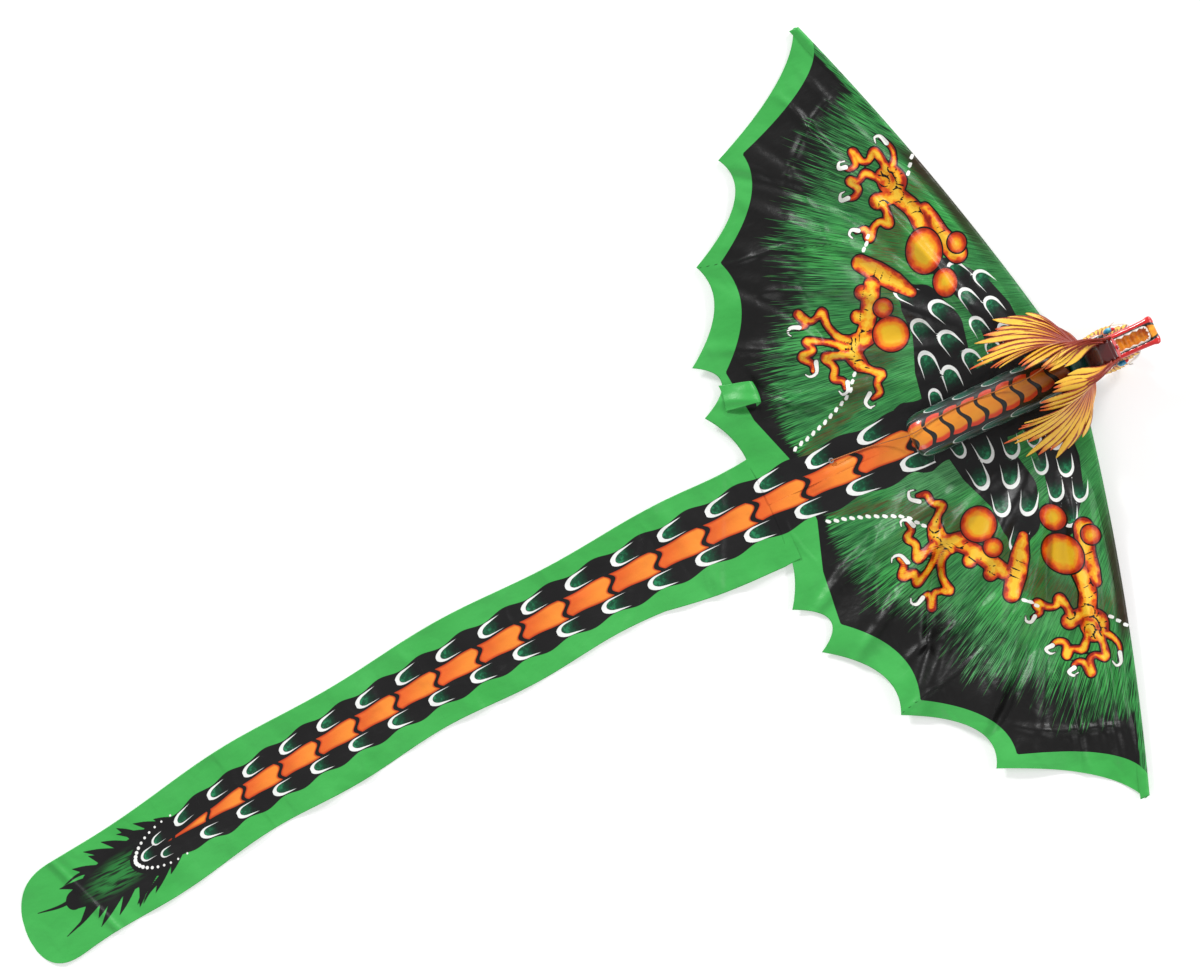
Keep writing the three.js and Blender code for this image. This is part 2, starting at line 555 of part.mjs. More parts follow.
// ---- Place the kite ----------------------------------------------------------------------------------
// The origin is on the table, under the middle of the kite's box, which leaves out the bridle line.
root.updateMatrixWorld(true);
const box = new THREE.Box3();
root.traverse((o) => {
  if (o.isMesh && o.name !== "bridle_line") box.union(new THREE.Box3().setFromObject(o, true));
});
const middle = box.getCenter(vec());
root.position.set(-middle.x, -middle.y, -box.min.z);
const kite = new THREE.Group();
kite.add(root);

export default kite;
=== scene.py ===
"""A hand-painted dragon kite, lying belly up on a pale floor, in metres in the part's own frame.

Sizes in this file are millimetres from the neck: x forwards to the head, y out over the left wing, z up
from the sail. They become metres in the frame when a mesh is made.
"""
import json

import bmesh
import bpy
import numpy as np
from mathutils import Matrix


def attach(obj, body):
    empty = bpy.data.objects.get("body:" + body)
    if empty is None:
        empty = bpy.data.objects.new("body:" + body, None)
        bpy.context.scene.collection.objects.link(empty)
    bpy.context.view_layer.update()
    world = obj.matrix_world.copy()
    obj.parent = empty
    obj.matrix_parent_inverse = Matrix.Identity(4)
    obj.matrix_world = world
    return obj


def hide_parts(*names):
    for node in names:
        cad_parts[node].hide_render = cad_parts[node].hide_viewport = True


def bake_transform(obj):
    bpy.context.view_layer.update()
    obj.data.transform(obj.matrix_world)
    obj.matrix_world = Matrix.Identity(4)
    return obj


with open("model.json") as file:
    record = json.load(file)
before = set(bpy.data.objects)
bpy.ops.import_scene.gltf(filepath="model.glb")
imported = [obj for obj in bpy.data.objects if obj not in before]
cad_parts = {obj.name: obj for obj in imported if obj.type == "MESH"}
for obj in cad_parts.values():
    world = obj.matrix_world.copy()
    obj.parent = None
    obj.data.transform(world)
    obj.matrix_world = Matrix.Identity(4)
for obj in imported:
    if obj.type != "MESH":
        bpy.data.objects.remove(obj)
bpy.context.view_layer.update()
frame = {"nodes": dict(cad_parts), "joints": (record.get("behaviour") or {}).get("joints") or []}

# ---- Camera and light ------------------------------------------------
# The camera looks straight down at the belly side, turned so that the head points to the upper right.
# Two broad suns rake in from the upper left and the upper right to show the folds in the cloth, and two
# square lamps fill in from the right and from below.

# The rigid airframe is tipped by the wing hinge's direction. The hinge's own point is beside the neck,
# so it gives the place of the neck, from which every size in this file is measured.
fold = next(j for j in frame["joints"] if j["name"] == "wing_left_fold")
HINGE_Y = 33.0
FORWARD = np.array(fold["axis"])
SIDE = np.array([0.0, 1.0, 0.0])
NECK = 1000 * np.array(fold["pos_m"]) - HINGE_Y * SIDE


def on_floor(x, y, height):
    """The neck's place plus x along the spine and y sideways, at a height over the floor, in metres."""
    x, y, height = np.broadcast_arrays(np.asarray(x, float), y, height)
    return np.stack([NECK[0] + x * FORWARD[0], y, height], -1) / 1000


VIEW_TURN = -0.4291
VIEW_WIDTH = 1416
VIEW_CENTRE = (-569.0, 102.0)
CAMERA_HEIGHT = 7.0
SENSOR = 36.0
camera_data = bpy.data.cameras.new("camera")
camera_data.sensor_width = SENSOR
camera_data.lens = SENSOR * CAMERA_HEIGHT * 1000 / VIEW_WIDTH
camera = bpy.data.objects.new("camera", camera_data)
camera.location = (*on_floor(*VIEW_CENTRE, 0.0)[:2], CAMERA_HEIGHT)
camera.rotation_euler = (0, 0, VIEW_TURN)
bpy.context.scene.collection.objects.link(camera)
bpy.context.scene.camera = camera

SUN_ANGLE = 0.20
for name, kind, place, size, power in [
    ("window_light", "SUN", (-0.30, 0.90, 0.56), SUN_ANGLE, 2.0),
    ("second_window", "SUN", (0.86, 0.46, 0.50), SUN_ANGLE, 1.35),
    ("side_light", "AREA", (2.4, -0.9, 1.5), 1.0, 16),
    ("low_light", "AREA", (-1.4, -1.9, 1.3), 1.2, 12),
]:
    light = bpy.data.lights.new(name, kind)
    light.energy = power
    if kind == "SUN":
        light.angle = size
    else:
        light.size = size
    holder = bpy.data.objects.new(name, light)
    holder.location = place
    tip_over = float(np.arctan2(np.hypot(place[0], place[1]), place[2]))
    holder.rotation_euler = (tip_over, 0, float(np.arctan2(place[0], -place[1])))
    bpy.context.scene.collection.objects.link(holder)

SKY_STRENGTH = 0.47
world = bpy.data.worlds.new("air")
world.use_nodes = True
sky = world.node_tree.nodes["Background"].inputs
sky["Color"].default_value = (1, 1, 1, 1)
sky["Strength"].default_value = SKY_STRENGTH
bpy.context.scene.world = world
bpy.context.scene.view_settings.view_transform = "Standard"

# ---- Floor -----------------------------------------------------------
# A wide sheet of plain pale backdrop paper, on which the kite lies. It shines back a little of the light.
def srgb(red, green, blue):
    """A painter's 0 to 255 colour as linear light, with the usual 2.2 power."""
    return (*[(c / 255) ** 2.2 for c in (red, green, blue)], 1.0)


class Signal:
    """A shader value. Sums on it add Math nodes, and its own methods add the few others that are used."""

    def __init__(self, finish, socket):
        self.finish = finish
        self.socket = socket

    def math(self, operation, *values):
        return self.finish.node("Math", {"operation": operation}, dict(enumerate(values)))

    def __add__(self, other):
        return self.math("ADD", self, other)

    def __sub__(self, other):
        return self.math("SUBTRACT", self, other)

    def __mul__(self, other):
        return self.math("MULTIPLY", self, other)

    def __rsub__(self, other):
        return self.math("SUBTRACT", other, self)

    __radd__ = __add__
    __rmul__ = __mul__

    def size(self):
        return self.math("ABSOLUTE", self)

    def rise(self, low, high):
        """0 below low and 1 above high, with a smooth step between. It falls if low is above high."""
        settings = {"interpolation_type": "SMOOTHSTEP"}
        if low < high:
            return self.finish.node("MapRange", settings, {0: self, 1: low, 2: high, 3: 0.0, 4: 1.0})
        return self.finish.node("MapRange", settings, {0: self, 1: high, 2: low, 3: 1.0, 4: 0.0})


class Finish:
    """One material. It holds the nodes and hands the finished signals to its surface shader."""

    def __init__(self, name):
        self.material = bpy.data.materials.new(name)
        self.material.use_nodes = True
        self.tree = self.material.node_tree
        self.surface = self.tree.nodes["Principled BSDF"]

    def node(self, kind, settings, inputs, output=0):
        """Adds a node, sets its settings, then fills its sockets with numbers, colours or signals."""
        made = self.tree.nodes.new("ShaderNode" + kind)
        for key, value in settings.items():
            setattr(made, key, value)
        for socket, value in inputs.items():
            self.fill(made.inputs[socket], value)
        return Signal(self, made.outputs[output])

    def fill(self, socket, value):
        if isinstance(value, Signal):
            self.tree.links.new(value.socket, socket)
        else:
            socket.default_value = value

    def field(self, name):
        """A number stored at each point of the mesh."""
        return self.node("Attribute", {"attribute_name": name}, {}, "Fac")

    def spot(self):
        """The point's place in the frame, in metres."""
        return self.node("TexCoord", {}, {}, "Object")

    def noise(self, where, scale, detail=2.0, stretch=(1, 1, 1)):
        """Cloudy noise from 0 to 1. A stretch of more than 1 along an axis makes it finer that way."""
        moved = self.node("Mapping", {}, {"Vector": where, "Scale": stretch})
        return self.node("TexNoise", {}, {"Vector": moved, "Scale": scale, "Detail": detail}, "Fac")

    def plane(self, x, y, z=0.0):
        """Three numbers joined as one point."""
        return self.node("CombineXYZ", {}, {0: x, 1: y, 2: z})

    def mix(self, share, below, above):
        """The colour above laid over the colour below by the share."""
        return self.node("Mix", {"data_type": "RGBA"}, {0: share, 6: below, 7: above}, 2)

    def set(self, **values):
        """Base_Color=..., Roughness=... and so on, on the surface shader."""
        for key, value in values.items():
            self.fill(self.surface.inputs[key.replace("_", " ")], value)
        return self.material

    def bump(self, height, distance, strength=1.0):
        """Relief of the given depth in metres. It feeds Normal."""
        inputs = {"Height": height, "Distance": distance, "Strength": strength}
        self.fill(self.surface.inputs["Normal"], self.node("Bump", {}, inputs))


FLOOR_REACH = 6
backdrop = Finish("backdrop_paper")
paper_grain = backdrop.noise(backdrop.spot(), 3.0)
paper = backdrop.mix(paper_grain, srgb(226, 226, 226), srgb(232, 232, 232))
backdrop.set(Base_Color=paper, Roughness=0.9, Emission_Color=paper, Emission_Strength=0.42)
floor_mesh = bpy.data.meshes.new("floor")
floor_corners = [(x * FLOOR_REACH, y * FLOOR_REACH, 0) for x, y in ((-1, -1), (1, -1), (1, 1), (-1, 1))]
floor_mesh.from_pydata(floor_corners, [], [(0, 1, 2, 3)])
floor_mesh.materials.append(backdrop.material)
floor = bpy.data.objects.new("floor", floor_mesh)
bpy.context.scene.collection.objects.link(floor)

# ---- Bridle line -----------------------------------------------------
# A limp rust-orange cord, waxed and twisted. It is tied to an eye on the lower jaw, hangs over the mane,
# lies along the belly, drops behind the body and goes through an eyelet in the sail to the spine.
UP = np.cross(FORWARD, SIDE)


def on_airframe(x, y, z):
    """The neck's place plus x along the spine, y sideways and z square to the sail, in metres."""
    x, y, z = (np.asarray(v, float)[..., None] for v in np.broadcast_arrays(x, y, z))
    return (NECK + x * FORWARD + y * SIDE + z * UP) / 1000


def smooth_path(points, count):
    """A centripetal Catmull-Rom curve through the points: between two points, cubic weights of four."""
    p = np.asarray(points, float)
    p = np.vstack([2 * p[0] - p[1], p, 2 * p[-1] - p[-2]])
    knots = np.concatenate([[0], np.cumsum(np.linalg.norm(np.diff(p, axis=0), axis=1) ** 0.5)])
    t = np.linspace(knots[1], knots[-2] - 1e-9, count)
    i = np.clip(np.searchsorted(knots, t, "right") - 1, 1, len(p) - 3)
    k = [knots[i + d][:, None] for d in (-1, 0, 1, 2)]
    q = [p[i + d] for d in (-1, 0, 1, 2)]
    t = t[:, None]
    a = [((k[j + 1] - t) * q[j] + (t - k[j]) * q[j + 1]) / (k[j + 1] - k[j]) for j in range(3)]
    b = [((k[j + 2] - t) * a[j] + (t - k[j]) * a[j + 1]) / (k[j + 2] - k[j]) for j in range(2)]
    return ((k[2] - t) * b[0] + (t - k[1]) * b[1]) / (k[2] - k[1])


CORD_DIAMETER = 1.4
BRIDLE = [(25.5, 18, 93), (19, 20.2, 95.5), (8, 23.5, 101), (-6, 24.5, 110), (-20, 20.5, 119),
          (-30, 16.5, 121.5), (-38, 14.2, 118), (-48, 12, 103), (-58, 10.4, 84), (-70, 10, 66),
          (-86, 10.8, 54), (-112, 12, 49.4), (-142, 13.5, 48.4), (-178, 11, 49.2), (-203, 7, 49.4),
          (-214, 6.8, 43), (-222, 7.6, 27), (-232, 9, 11), (-246, 11, 3), (-264, 13.4, 1.6),
          (-288, 15.6, 1.6), (-301, 16.4, 2.6), (-307.4, 16.9, 3)]
BRIDLE_TIE = [(-308, 17, 1.4), (-308, 17, -0.8), (-308, 15, -2.8), (-308, 9, -3.2), (-308, 3.9, -3.2)]

twine = Finish("waxed_twine")
strand = twine.node("TexWave", {"bands_direction": "DIAGONAL"}, {
    "Vector": twine.spot(), "Scale": 700.0, "Distortion": 1.0})
twine.set(Base_Color=twine.mix(strand, srgb(150, 78, 38), srgb(205, 125, 70)), Roughness=0.6)
twine.bump(strand, 0.0001)

BRIDLE_STEPS = 300
bridle_route = on_airframe(*smooth_path(BRIDLE + BRIDLE_TIE, BRIDLE_STEPS).T)
bridle_curve = bpy.data.curves.new("bridle_cord", "CURVE")
bridle_curve.dimensions = "3D"
bridle_curve.bevel_depth = CORD_DIAMETER / 2000
bridle_curve.bevel_resolution = 3
bridle_curve.use_fill_caps = True
bridle_spline = bridle_curve.splines.new("POLY")
bridle_spline.points.add(BRIDLE_STEPS - 1)
bridle_spline.points.foreach_set("co", np.hstack([bridle_route, np.ones((BRIDLE_STEPS, 1))]).ravel())
bridle_curve.materials.append(twine.material)
bridle = bpy.data.objects.new("bridle_cord", bridle_curve)
bpy.context.scene.collection.objects.link(bridle)
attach(bridle, "airframe")
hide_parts("bridle_line", "bridle_tie")

# ---- Painting on the cloth -------------------------------------------
# The dragon is drawn on the cloth by hand with black ink, green scales and orange limbs. Each drawn
# layer is a field over the cloth, in millimetres inside its own edge, and the finish lays the paint.
HALF_SPAN = 500.0
SPINE_END = -400.0
TRAILING_POINTS = [(33, -397), (48, -399), (124, -423), (184, -412), (290, -358), (394, -282),
                   (HALF_SPAN, -136)]
TRAILING_BAYS = [0, 8, 30, 26, 35, 26]
BLACK_POINTS = [(0, -352), (40, -352), (98, -371), (163, -378), (283, -330), (389, -253), (480, -122)]
BLACK_BAYS = [0, 0, 0, 24, 25, 34]
BRUSH_CENTRE = (110, 50)
BRUSHED_TO = -480.0
BALL_LEAN = 0.4291
LIMB_STEPS = 5
OUTSIDE = -30.0


def scallops(y, points, bays):
    """Straight lines between points at (y, x), each bowed towards the head by its bay as a parabola."""
    y = np.abs(y)
    outs = [p[0] for p in points]
    line = np.interp(y, outs, [p[1] for p in points])
    i = np.clip(np.searchsorted(outs, y, "right") - 1, 0, len(bays) - 1)
    share = np.clip((y - np.take(outs, i)) / (np.take(outs, i + 1) - np.take(outs, i)), 0, 1)
    return line + np.take(bays, i) * 4 * share * (1 - share)


def stroke(x, y, points, radii):
    """Millimetres inside a line drawn with a round brush, whose radius goes evenly along each piece."""
    radii = np.broadcast_to(radii, len(points)).astype(float)
    if len(points) == 1:
        return radii[0] - np.hypot(x - points[0][0], y - points[0][1])
    inside = np.full(np.shape(x), -np.inf)
    for (ax, ay), (bx, by), ra, rb in zip(points, points[1:], radii, radii[1:]):
        dx, dy = bx - ax, by - ay
        share = np.clip(((x - ax) * dx + (y - ay) * dy) / (dx * dx + dy * dy), 0, 1)
        reach = np.hypot(x - ax - share * dx, y - ay - share * dy)
        inside = np.maximum(inside, ra + (rb - ra) * share - reach)
    return inside


def curved(points, steps=7):
    """The points of a smooth line through a few given ones."""
    return smooth_path(points, (len(points) - 1) * steps + 1).tolist()


# Limbs: (centre line, radii). Knuckles are the wide places. All are on the left wing.
FINGERS = [
    ([(-107, 301), (-106, 308), (-111, 327), (-121, 320), (-128, 322), (-134, 337), (-137, 322),
      (-146, 320), (-151, 324)], [6, 4.2, 5.6, 3.4, 3.6, 5.6, 4, 3, 2.2]),
    ([(-114, 290), (-121, 298), (-131, 308), (-142, 303), (-151, 307), (-146, 294), (-154, 288),
      (-163, 290)], [6, 3.4, 5.2, 3.4, 5.4, 4, 3.6, 2.2]),
    ([(-127, 266), (-127, 256), (-131, 243), (-138, 249), (-146, 247), (-158, 237), (-158, 248),
      (-169, 250)], [5, 4, 6.4, 3.4, 4, 6, 4, 2.2]),
    ([(-100, 300), (-92, 312), (-90, 322), (-96, 338)], [5, 3, 2.6, 2.2]),
    ([(-232, 138), (-238, 143), (-246, 164), (-245, 181), (-254, 177), (-262, 176), (-272, 190),
      (-269, 175), (-280, 175)], [6, 4.4, 3.8, 5.2, 3.4, 3.6, 5.4, 4, 2.2]),
    ([(-236, 130), (-247, 140), (-260, 149), (-277, 156), (-274, 144), (-289, 142), (-281, 129),
      (-284, 121)], [6, 4.2, 3.6, 5.2, 4, 5.4, 4, 2.2]),
    ([(-236, 122), (-250, 126), (-264, 130), (-259, 114), (-265, 103), (-256, 96), (-258, 87)],
     [6, 4.4, 5.8, 4.2, 4.6, 4, 2.2]),
    ([(-230, 104), (-220, 93), (-212, 85), (-221, 78), (-223, 66), (-233, 63)],
     [7, 4, 5.8, 3.8, 4.2, 2.2]),
]
LIMBS = [
    ([(-100, 300), (-98, 285), (-108, 272), (-104, 262), (-97, 246), (-97, 222)], [6, 9, 10, 10, 10, 9]),
    ([(-84, 242), (-80, 225), (-80, 205), (-72, 178)], [6, 7, 11, 12]),
    ([(-131, 272), (-116, 270), (-106, 270)], [9.5, 8, 7]),
    ([(-112, 296), (-112, 286)], [10, 10.5]),
    ([(-180, 214), (-166, 196), (-153, 178), (-140, 158)], [10, 12, 11, 6]),
    ([(-193, 182), (-184, 176)], [8.5, 8]),
    ([(-209, 158), (-198, 152)], [8, 7.5]),
    ([(-178, 186), (-190, 166), (-203, 145), (-212, 136)], [9, 10, 9, 8]),
    ([(-206, 130), (-226, 129), (-232, 120), (-230, 106)], [8, 12, 11, 9]),
]
# Round muscles where a limb meets the body: (middle, radius, how much longer than wide).
BALLS = [((-106, 196), 21, 1.28), ((-99, 152), 14, 1.2), ((-67, 189), 11, 1.1), ((-178, 155), 11, 1.0),
         ((-182, 123), 21, 0.98)]
CLAWS = [
    [(-149, 324), (-157, 326), (-154, 332), (-147, 331)],
    [(-161, 290), (-170, 291), (-167, 298), (-161, 298)],
    [(-166, 250), (-173, 254), (-178, 250), (-176, 244)],
    [(-93, 330), (-97, 341), (-103, 342), (-105, 335)],
    [(-277, 175), (-287, 179), (-292, 175), (-290, 169)],
    [(-276, 130), (-281, 118), (-290, 117), (-294, 122)],
    [(-252, 93), (-257, 83), (-264, 82), (-266, 88)],
    [(-234, 70), (-243, 62), (-240, 54), (-232, 56)],
]
# Short ink marks across knuckles, wrists and folds of skin.
MARKS = [
    [(-88, 252), (-98, 256), (-107, 252)], [(-90, 240), (-98, 243), (-106, 240)],
    [(-72, 216), (-82, 214)],
    [(-74, 208), (-86, 208)], [(-92, 290), (-100, 288)], [(-96, 276), (-102, 281), (-101, 288)],
    [(-122, 268), (-118, 262)], [(-104, 262), (-110, 258)], [(-172, 194), (-162, 204)],
    [(-166, 187), (-157, 197)], [(-159, 180), (-150, 189)], [(-184, 176), (-192, 172)],
    [(-195, 160), (-201, 165)], [(-212, 143), (-206, 137)], [(-216, 138), (-220, 130)],
    [(-222, 136), (-226, 126)], [(-238, 130), (-230, 122)], [(-236, 112), (-227, 112)],
    [(-226, 100), (-220, 96)], [(-110, 222), (-103, 218)],
]
# Each limb ends in a black band of scales: (centre line, radii). A scale is (x, y, turn, length, width).
BANDS = [
    ([(-93, 166), (-72, 130), (-62, 95), (-62, 40)], [14, 21, 22, 25]),
    ([(-150, 168), (-136, 140), (-130, 105), (-143, 60), (-146, 20)], [9, 24, 30, 34, 38]),
]
WING_SCALES = [
    (-80, 158, -68, 29, 19), (-56, 136, -66, 30, 19), (-82, 124, -74, 29, 19), (-59, 102, -76, 30, 19),
    (-85, 88, -80, 29, 18), (-58, 68, -84, 29, 19), (-80, 56, -86, 29, 18),
    (-146, 159, -46, 32, 21), (-117, 124, -58, 34, 22), (-147, 112, -74, 33, 21), (-123, 86, -72, 34, 22),
    (-157, 72, -92, 36, 21), (-108, 55, -80, 32, 20), (-139, 46, -92, 34, 21), (-166, 32, -98, 26, 16),
]
# White dots that run on from the limbs' ends.
DOTS = [(-66, 312), (-74, 302), (-80, 294), (-86, 286), (-160, 238), (-165, 231), (-171, 226), (-242, 97),
        (-248, 90), (-254, 82), (-262, 76), (-270, 72), (-279, 68), (-288, 64), (-297, 60), (-306, 57),
        (-315, 54), (-324, 51), (-333, 49), (-342, 46)]


def horseshoe(a, b, length, half, white):
    """A scale drawn as a horseshoe. It is closed at a = 0 and open at a = length, with b square to a.

    Its closed end is half an ellipse, and its sides run straight on from it. Returns millimetres inside
    its outline, the same inside its white line, which thins to nothing at the open end, and the share of
    its length.
    """
    share = a / length
    bend = 0.42 * length
    outline = half * (1 - np.hypot(np.minimum(a - bend, 0) / bend, b / half))
    line = white * (1 - np.clip(share, 0, 1)) ** 1.35 * (1 + 0.35 * np.clip(b / half, -1, 1))
    return np.minimum(outline, length - a), outline - line, share


def nearer(best, found, shown=True):
    """Of two scales' (outline, white line, share), the one whose outline reaches further at each place."""
    here = (found[0] > best[0]) & shown
    return [np.where(here, new, old) for new, old in zip(found, best)]


def scale_fields(x, y, scales):
    """The horseshoe nearest to each place, out of (x, y, turn, length, width) round each scale's middle."""
    best = [np.full(np.shape(x), v) for v in (OUTSIDE, OUTSIDE, 0.0)]
    for cx, cy, turn, length, width in scales:
        c, s = np.cos(np.radians(turn)), np.sin(np.radians(turn))
        a = (x - cx) * c + (y - cy) * s + length / 2
        b = (y - cy) * c - (x - cx) * s
        bent = b + 0.0035 * (a - length / 2) ** 2
        best = nearer(best, horseshoe(a, bent, length, 0.49 * width, 0.215 * width))
    return best


def part_way(low, high, share):
    """From low to high by a share that is cut off at 0 and 1."""
    return low + (high - low) * np.clip(share, 0, 1)


# The body's painting runs on along the tail: plates down the middle with a row of scales on each side.
PLATE_FRONT = -212.0
BODY_END = -1225.0
PITCH_FRONT = 70.0
PITCH_REAR = 47.0
LAST_SCALE = 17.0
OFF_BAND = -20.0
END_SCALES = [(-1234, 0, 0, 21, 13), (-1216, 9, 6, 19, 11), (-1213, -10, -4, 17, 10)]


def tail_middle_line(x):
    """The sideways curve in which the tail lies, a cubic that starts straight at the spine's end."""
    s = np.clip((SPINE_END - x) / 1000, 0, 2)
    return -(30 * s + 45 * s**2 + 24 * s**3)


def tail_fields(x, y):
    """The black body band, its plates and its scales.

    The plates' pitch shrinks evenly from front to rear, so the count of plates up to a place is the
    integral of 1 / pitch, a logarithm. Scales and wavy edges repeat with the same count.
    """
    b = y - tail_middle_line(x)
    back = np.clip(PLATE_FRONT - x, 0, None)
    whole = PLATE_FRONT - BODY_END
    share = np.clip(back / whole, 0, 1.15)
    pitch = part_way(PITCH_FRONT, PITCH_REAR, share)
    count = whole / (PITCH_FRONT - PITCH_REAR) * np.log(PITCH_FRONT / pitch)
    narrowed = 6 * np.clip((-1140 - x) / 50, 0, 1)
    edge_wave = 1 - 0.07 * np.cos(2 * np.pi * (count + np.where(b > 0, 0.35, 0.85)))
    ends = np.clip((BODY_END - x) / 40, -1, 1)
    rounded = np.sqrt(np.clip(1 - np.clip(ends + 0.15, 0, 1) ** 2, 0, 1))
    half = (38 - 9 * share - narrowed) * edge_wave * rounded
    band = np.where(x < PLATE_FRONT + 22, half - np.abs(b), OUTSIDE)
    wave = count + 0.085 * np.sin(2 * np.pi * b / (26 - 9 * share)) * (1 - 0.3 * share)
    in_plate = wave - np.floor(wave)
    plate_half = (14.5 - 5.0 * share) * (1 + 0.08 * np.sin(2 * np.pi * count))
    taper = np.clip((x - BODY_END - 14) / 120, 0, 1)
    plate_ends = (0.5 - np.abs(in_plate - 0.5)) * pitch - (3.6 - 1.4 * share)
    plate = np.minimum(plate_ends, plate_half * taper - np.abs(b))
    plate = np.where((x < PLATE_FRONT + 3) & (x > BODY_END + 16), plate, OFF_BAND)
    best = [np.full(np.shape(x), v) for v in (OFF_BAND, OFF_BAND, 0.0)]
    for side, phase in ((1, 0.15), (-1, 0.62)):
        lane = side * (26.0 - 7.0 * share - 0.8 * narrowed)
        k = np.floor(count + phase)
        a = (1 - (count + phase - k)) * pitch
        tilted = (b - lane) * side - 0.06 * (a - 20)
        found = horseshoe(a, tilted, 44 - 16 * share, 9.8 - 3.0 * share, 5.4 - 1.7 * share)
        best = nearer(best, found, (k + 1 - phase < LAST_SCALE) & (x < PLATE_FRONT + 16))
    return band, plate, in_plate, *nearer(best, scale_fields(x, b, END_SCALES))


def tuft_fields(x, y):
    """Ink inside the tuft, the white dots round the body's end, and the green brushed along its middle.

    The tuft is a black mass with flame-shaped tips along both sides and a few long hairs. Each tip is a
    tapering stroke that starts inside the mass and leans back, and its reach sideways follows a half sine
    along the tuft. The dots lie on a U round the body's end.
    """
    b = y - tail_middle_line(x)
    ink = stroke(x, b, [(-1185, 0), (-1225, 0), (-1268, 1), (-1306, 3), (-1336, 4)], [19, 28, 27, 20, 11])
    for side, tips, shift in ((1, 9, 0.0), (-1, 8, 0.5)):
        for i in range(tips):
            share = (i + shift) / tips
            root = -1188 - 132 * share
            wide = 21 + 26 * np.sin(np.pi * (0.12 + 0.80 * share)) - 11 * share + 3.5 * (i % 2)
            back = 24 + 9 * (i % 3)
            line = [(root, side * wide * 0.34), (root - back * 0.62, side * wide * 0.80),
                    (root - back, side * wide * 1.04)]
            ink = np.maximum(ink, stroke(x, b, curved(line, 4), np.linspace(8.6, 0.3, 9)))
    hairs = [[(-1288, 14), (-1318, 26), (-1342, 25)], [(-1322, 6), (-1352, 7), (-1382, 16)],
             [(-1310, -14), (-1336, -22), (-1362, -27)], [(-1228, -30), (-1252, -38), (-1264, -46)]]
    for points in hairs:
        ink = np.maximum(ink, stroke(x, b, curved(points, 6), np.linspace(3.6, 0.5, 13)))
    dots = np.full(np.shape(x), OFF_BAND)
    for i in range(21):
        turn = np.pi * (i / 20 - 0.5)
        place = (-1192 - 60 * np.cos(turn) ** 0.85, 24.5 * np.sin(turn) * abs(np.sin(turn)) ** 0.25)
        dots = np.maximum(dots, stroke(x, b, [place], [1.3 + 1.1 * np.cos(turn) ** 2]))
    heart = 1 - np.hypot((x + 1272) / 62, b / 24)
    return ink, dots, heart


def leading_edge(y):
    """The swept leading edge, bent forwards by a parabola at mid wing."""
    share = np.abs(y) / HALF_SPAN
    return -0.262 * np.abs(y) + 44 * share * (1 - share)


def cloth_fields(x, y):
    """All of the painting at flat places x, y, as a dict of fields. The wings mirror each other."""
    out = np.abs(y)
    black_x = scallops(out, BLACK_POINTS, BLACK_BAYS)
    fade = np.where(x > BRUSHED_TO, x - black_x, OUTSIDE)
    room = np.interp(out, [0, 60, 120, 190, 300, 400, 480], [10, 12, 36, 64, 72, 104, 130])
    turn = np.arctan2(out - BRUSH_CENTRE[1], BRUSH_CENTRE[0] - x)
    limb, ink, ball, claw, dots, leg = (np.full(np.shape(x), OUTSIDE) for _ in range(6))
    core = np.full(np.shape(x), -1.0)
    for line, radii in LIMBS + FINGERS:
        middle = curved(line, LIMB_STEPS)
        fine = np.interp(np.linspace(0, 1, len(middle)), np.linspace(0, 1, len(line)), radii)
        drawn = stroke(x, out, middle, fine)
        overlap = np.where((limb > 1.6) & (np.abs(drawn) < 6), 0.9 - np.abs(drawn), OUTSIDE)
        ink = np.maximum(np.where(drawn > 1.2, OUTSIDE, ink), overlap)
        core = np.where(drawn > limb, drawn / (1.2 + 0.8 * np.mean(radii)), core)
        limb = np.maximum(limb, drawn)
    for (cx, cy), radius, longer in BALLS:
        across = (x - cx) * np.cos(BALL_LEAN) - (out - cy) * np.sin(BALL_LEAN)
        up = (x - cx) * np.sin(BALL_LEAN) + (out - cy) * np.cos(BALL_LEAN)
        ball = np.maximum(ball, radius - np.hypot(across, up / longer))
    ink = np.where(ball > 0, OUTSIDE, ink)
    for line in MARKS:
        ink = np.maximum(ink, stroke(x, out, line, np.linspace(1.0, 0.35, len(line))))
    for line in CLAWS:
        middle = curved(line, LIMB_STEPS)
        claw = np.maximum(claw, stroke(x, out, middle, np.linspace(3.1, 1.0, len(middle))))
    for place in DOTS:
        dots = np.maximum(dots, stroke(x, out, [place, (place[0] + 2.4, place[1] + 2.2)], [2.1, 1.9]))
    for line, radii in BANDS:
        leg = np.maximum(leg, stroke(x, out, line, radii))
    outer, inner, along = scale_fields(x, out, WING_SCALES)
    body = np.interp(x, [-230, -205, -20, 0], [33, 42, 42, 20])
    leg = np.maximum(leg, np.where(x > -240, body - out + 3 * np.sin(x / 9), OUTSIDE))
    band, plate, in_plate, t_outer, t_inner, t_along = tail_fields(x, y)
    hair, hair_dots, heart = tuft_fields(x, y)
    arc = np.interp(out, [40, 60, 95, 230, 310, 400], [-345, -300, -244, -164, -66, 0])
    return {
        "fade": fade, "soot": fade / room, "streak": turn * 480,
        "reach": np.hypot(x - BRUSH_CENTRE[0], out - BRUSH_CENTRE[1]),
        "limb": limb, "core": core, "ball": ball, "ink": ink, "claw": claw,
        "dots": np.maximum(dots, hair_dots), "leg": np.maximum(leg, band), "hair": hair, "heart": heart,
        "scale_out": np.maximum(outer, t_outer), "scale_in": np.maximum(inner, t_inner),
        "scale_along": np.where(t_outer > outer, t_along, along),
        "plate": plate, "plate_along": in_plate, "rust": (x - arc) / 50, "front": leading_edge(out) - x,
        # The thin dark line along the fold from (-355, 288) to (-164, 237) is painted shade in the crease.
        "crease_shade": stroke(x, out, [(-355, 288), (-260, 266), (-164, 237)], [0.5, 0.7, 0.4]), "far": out,
    }


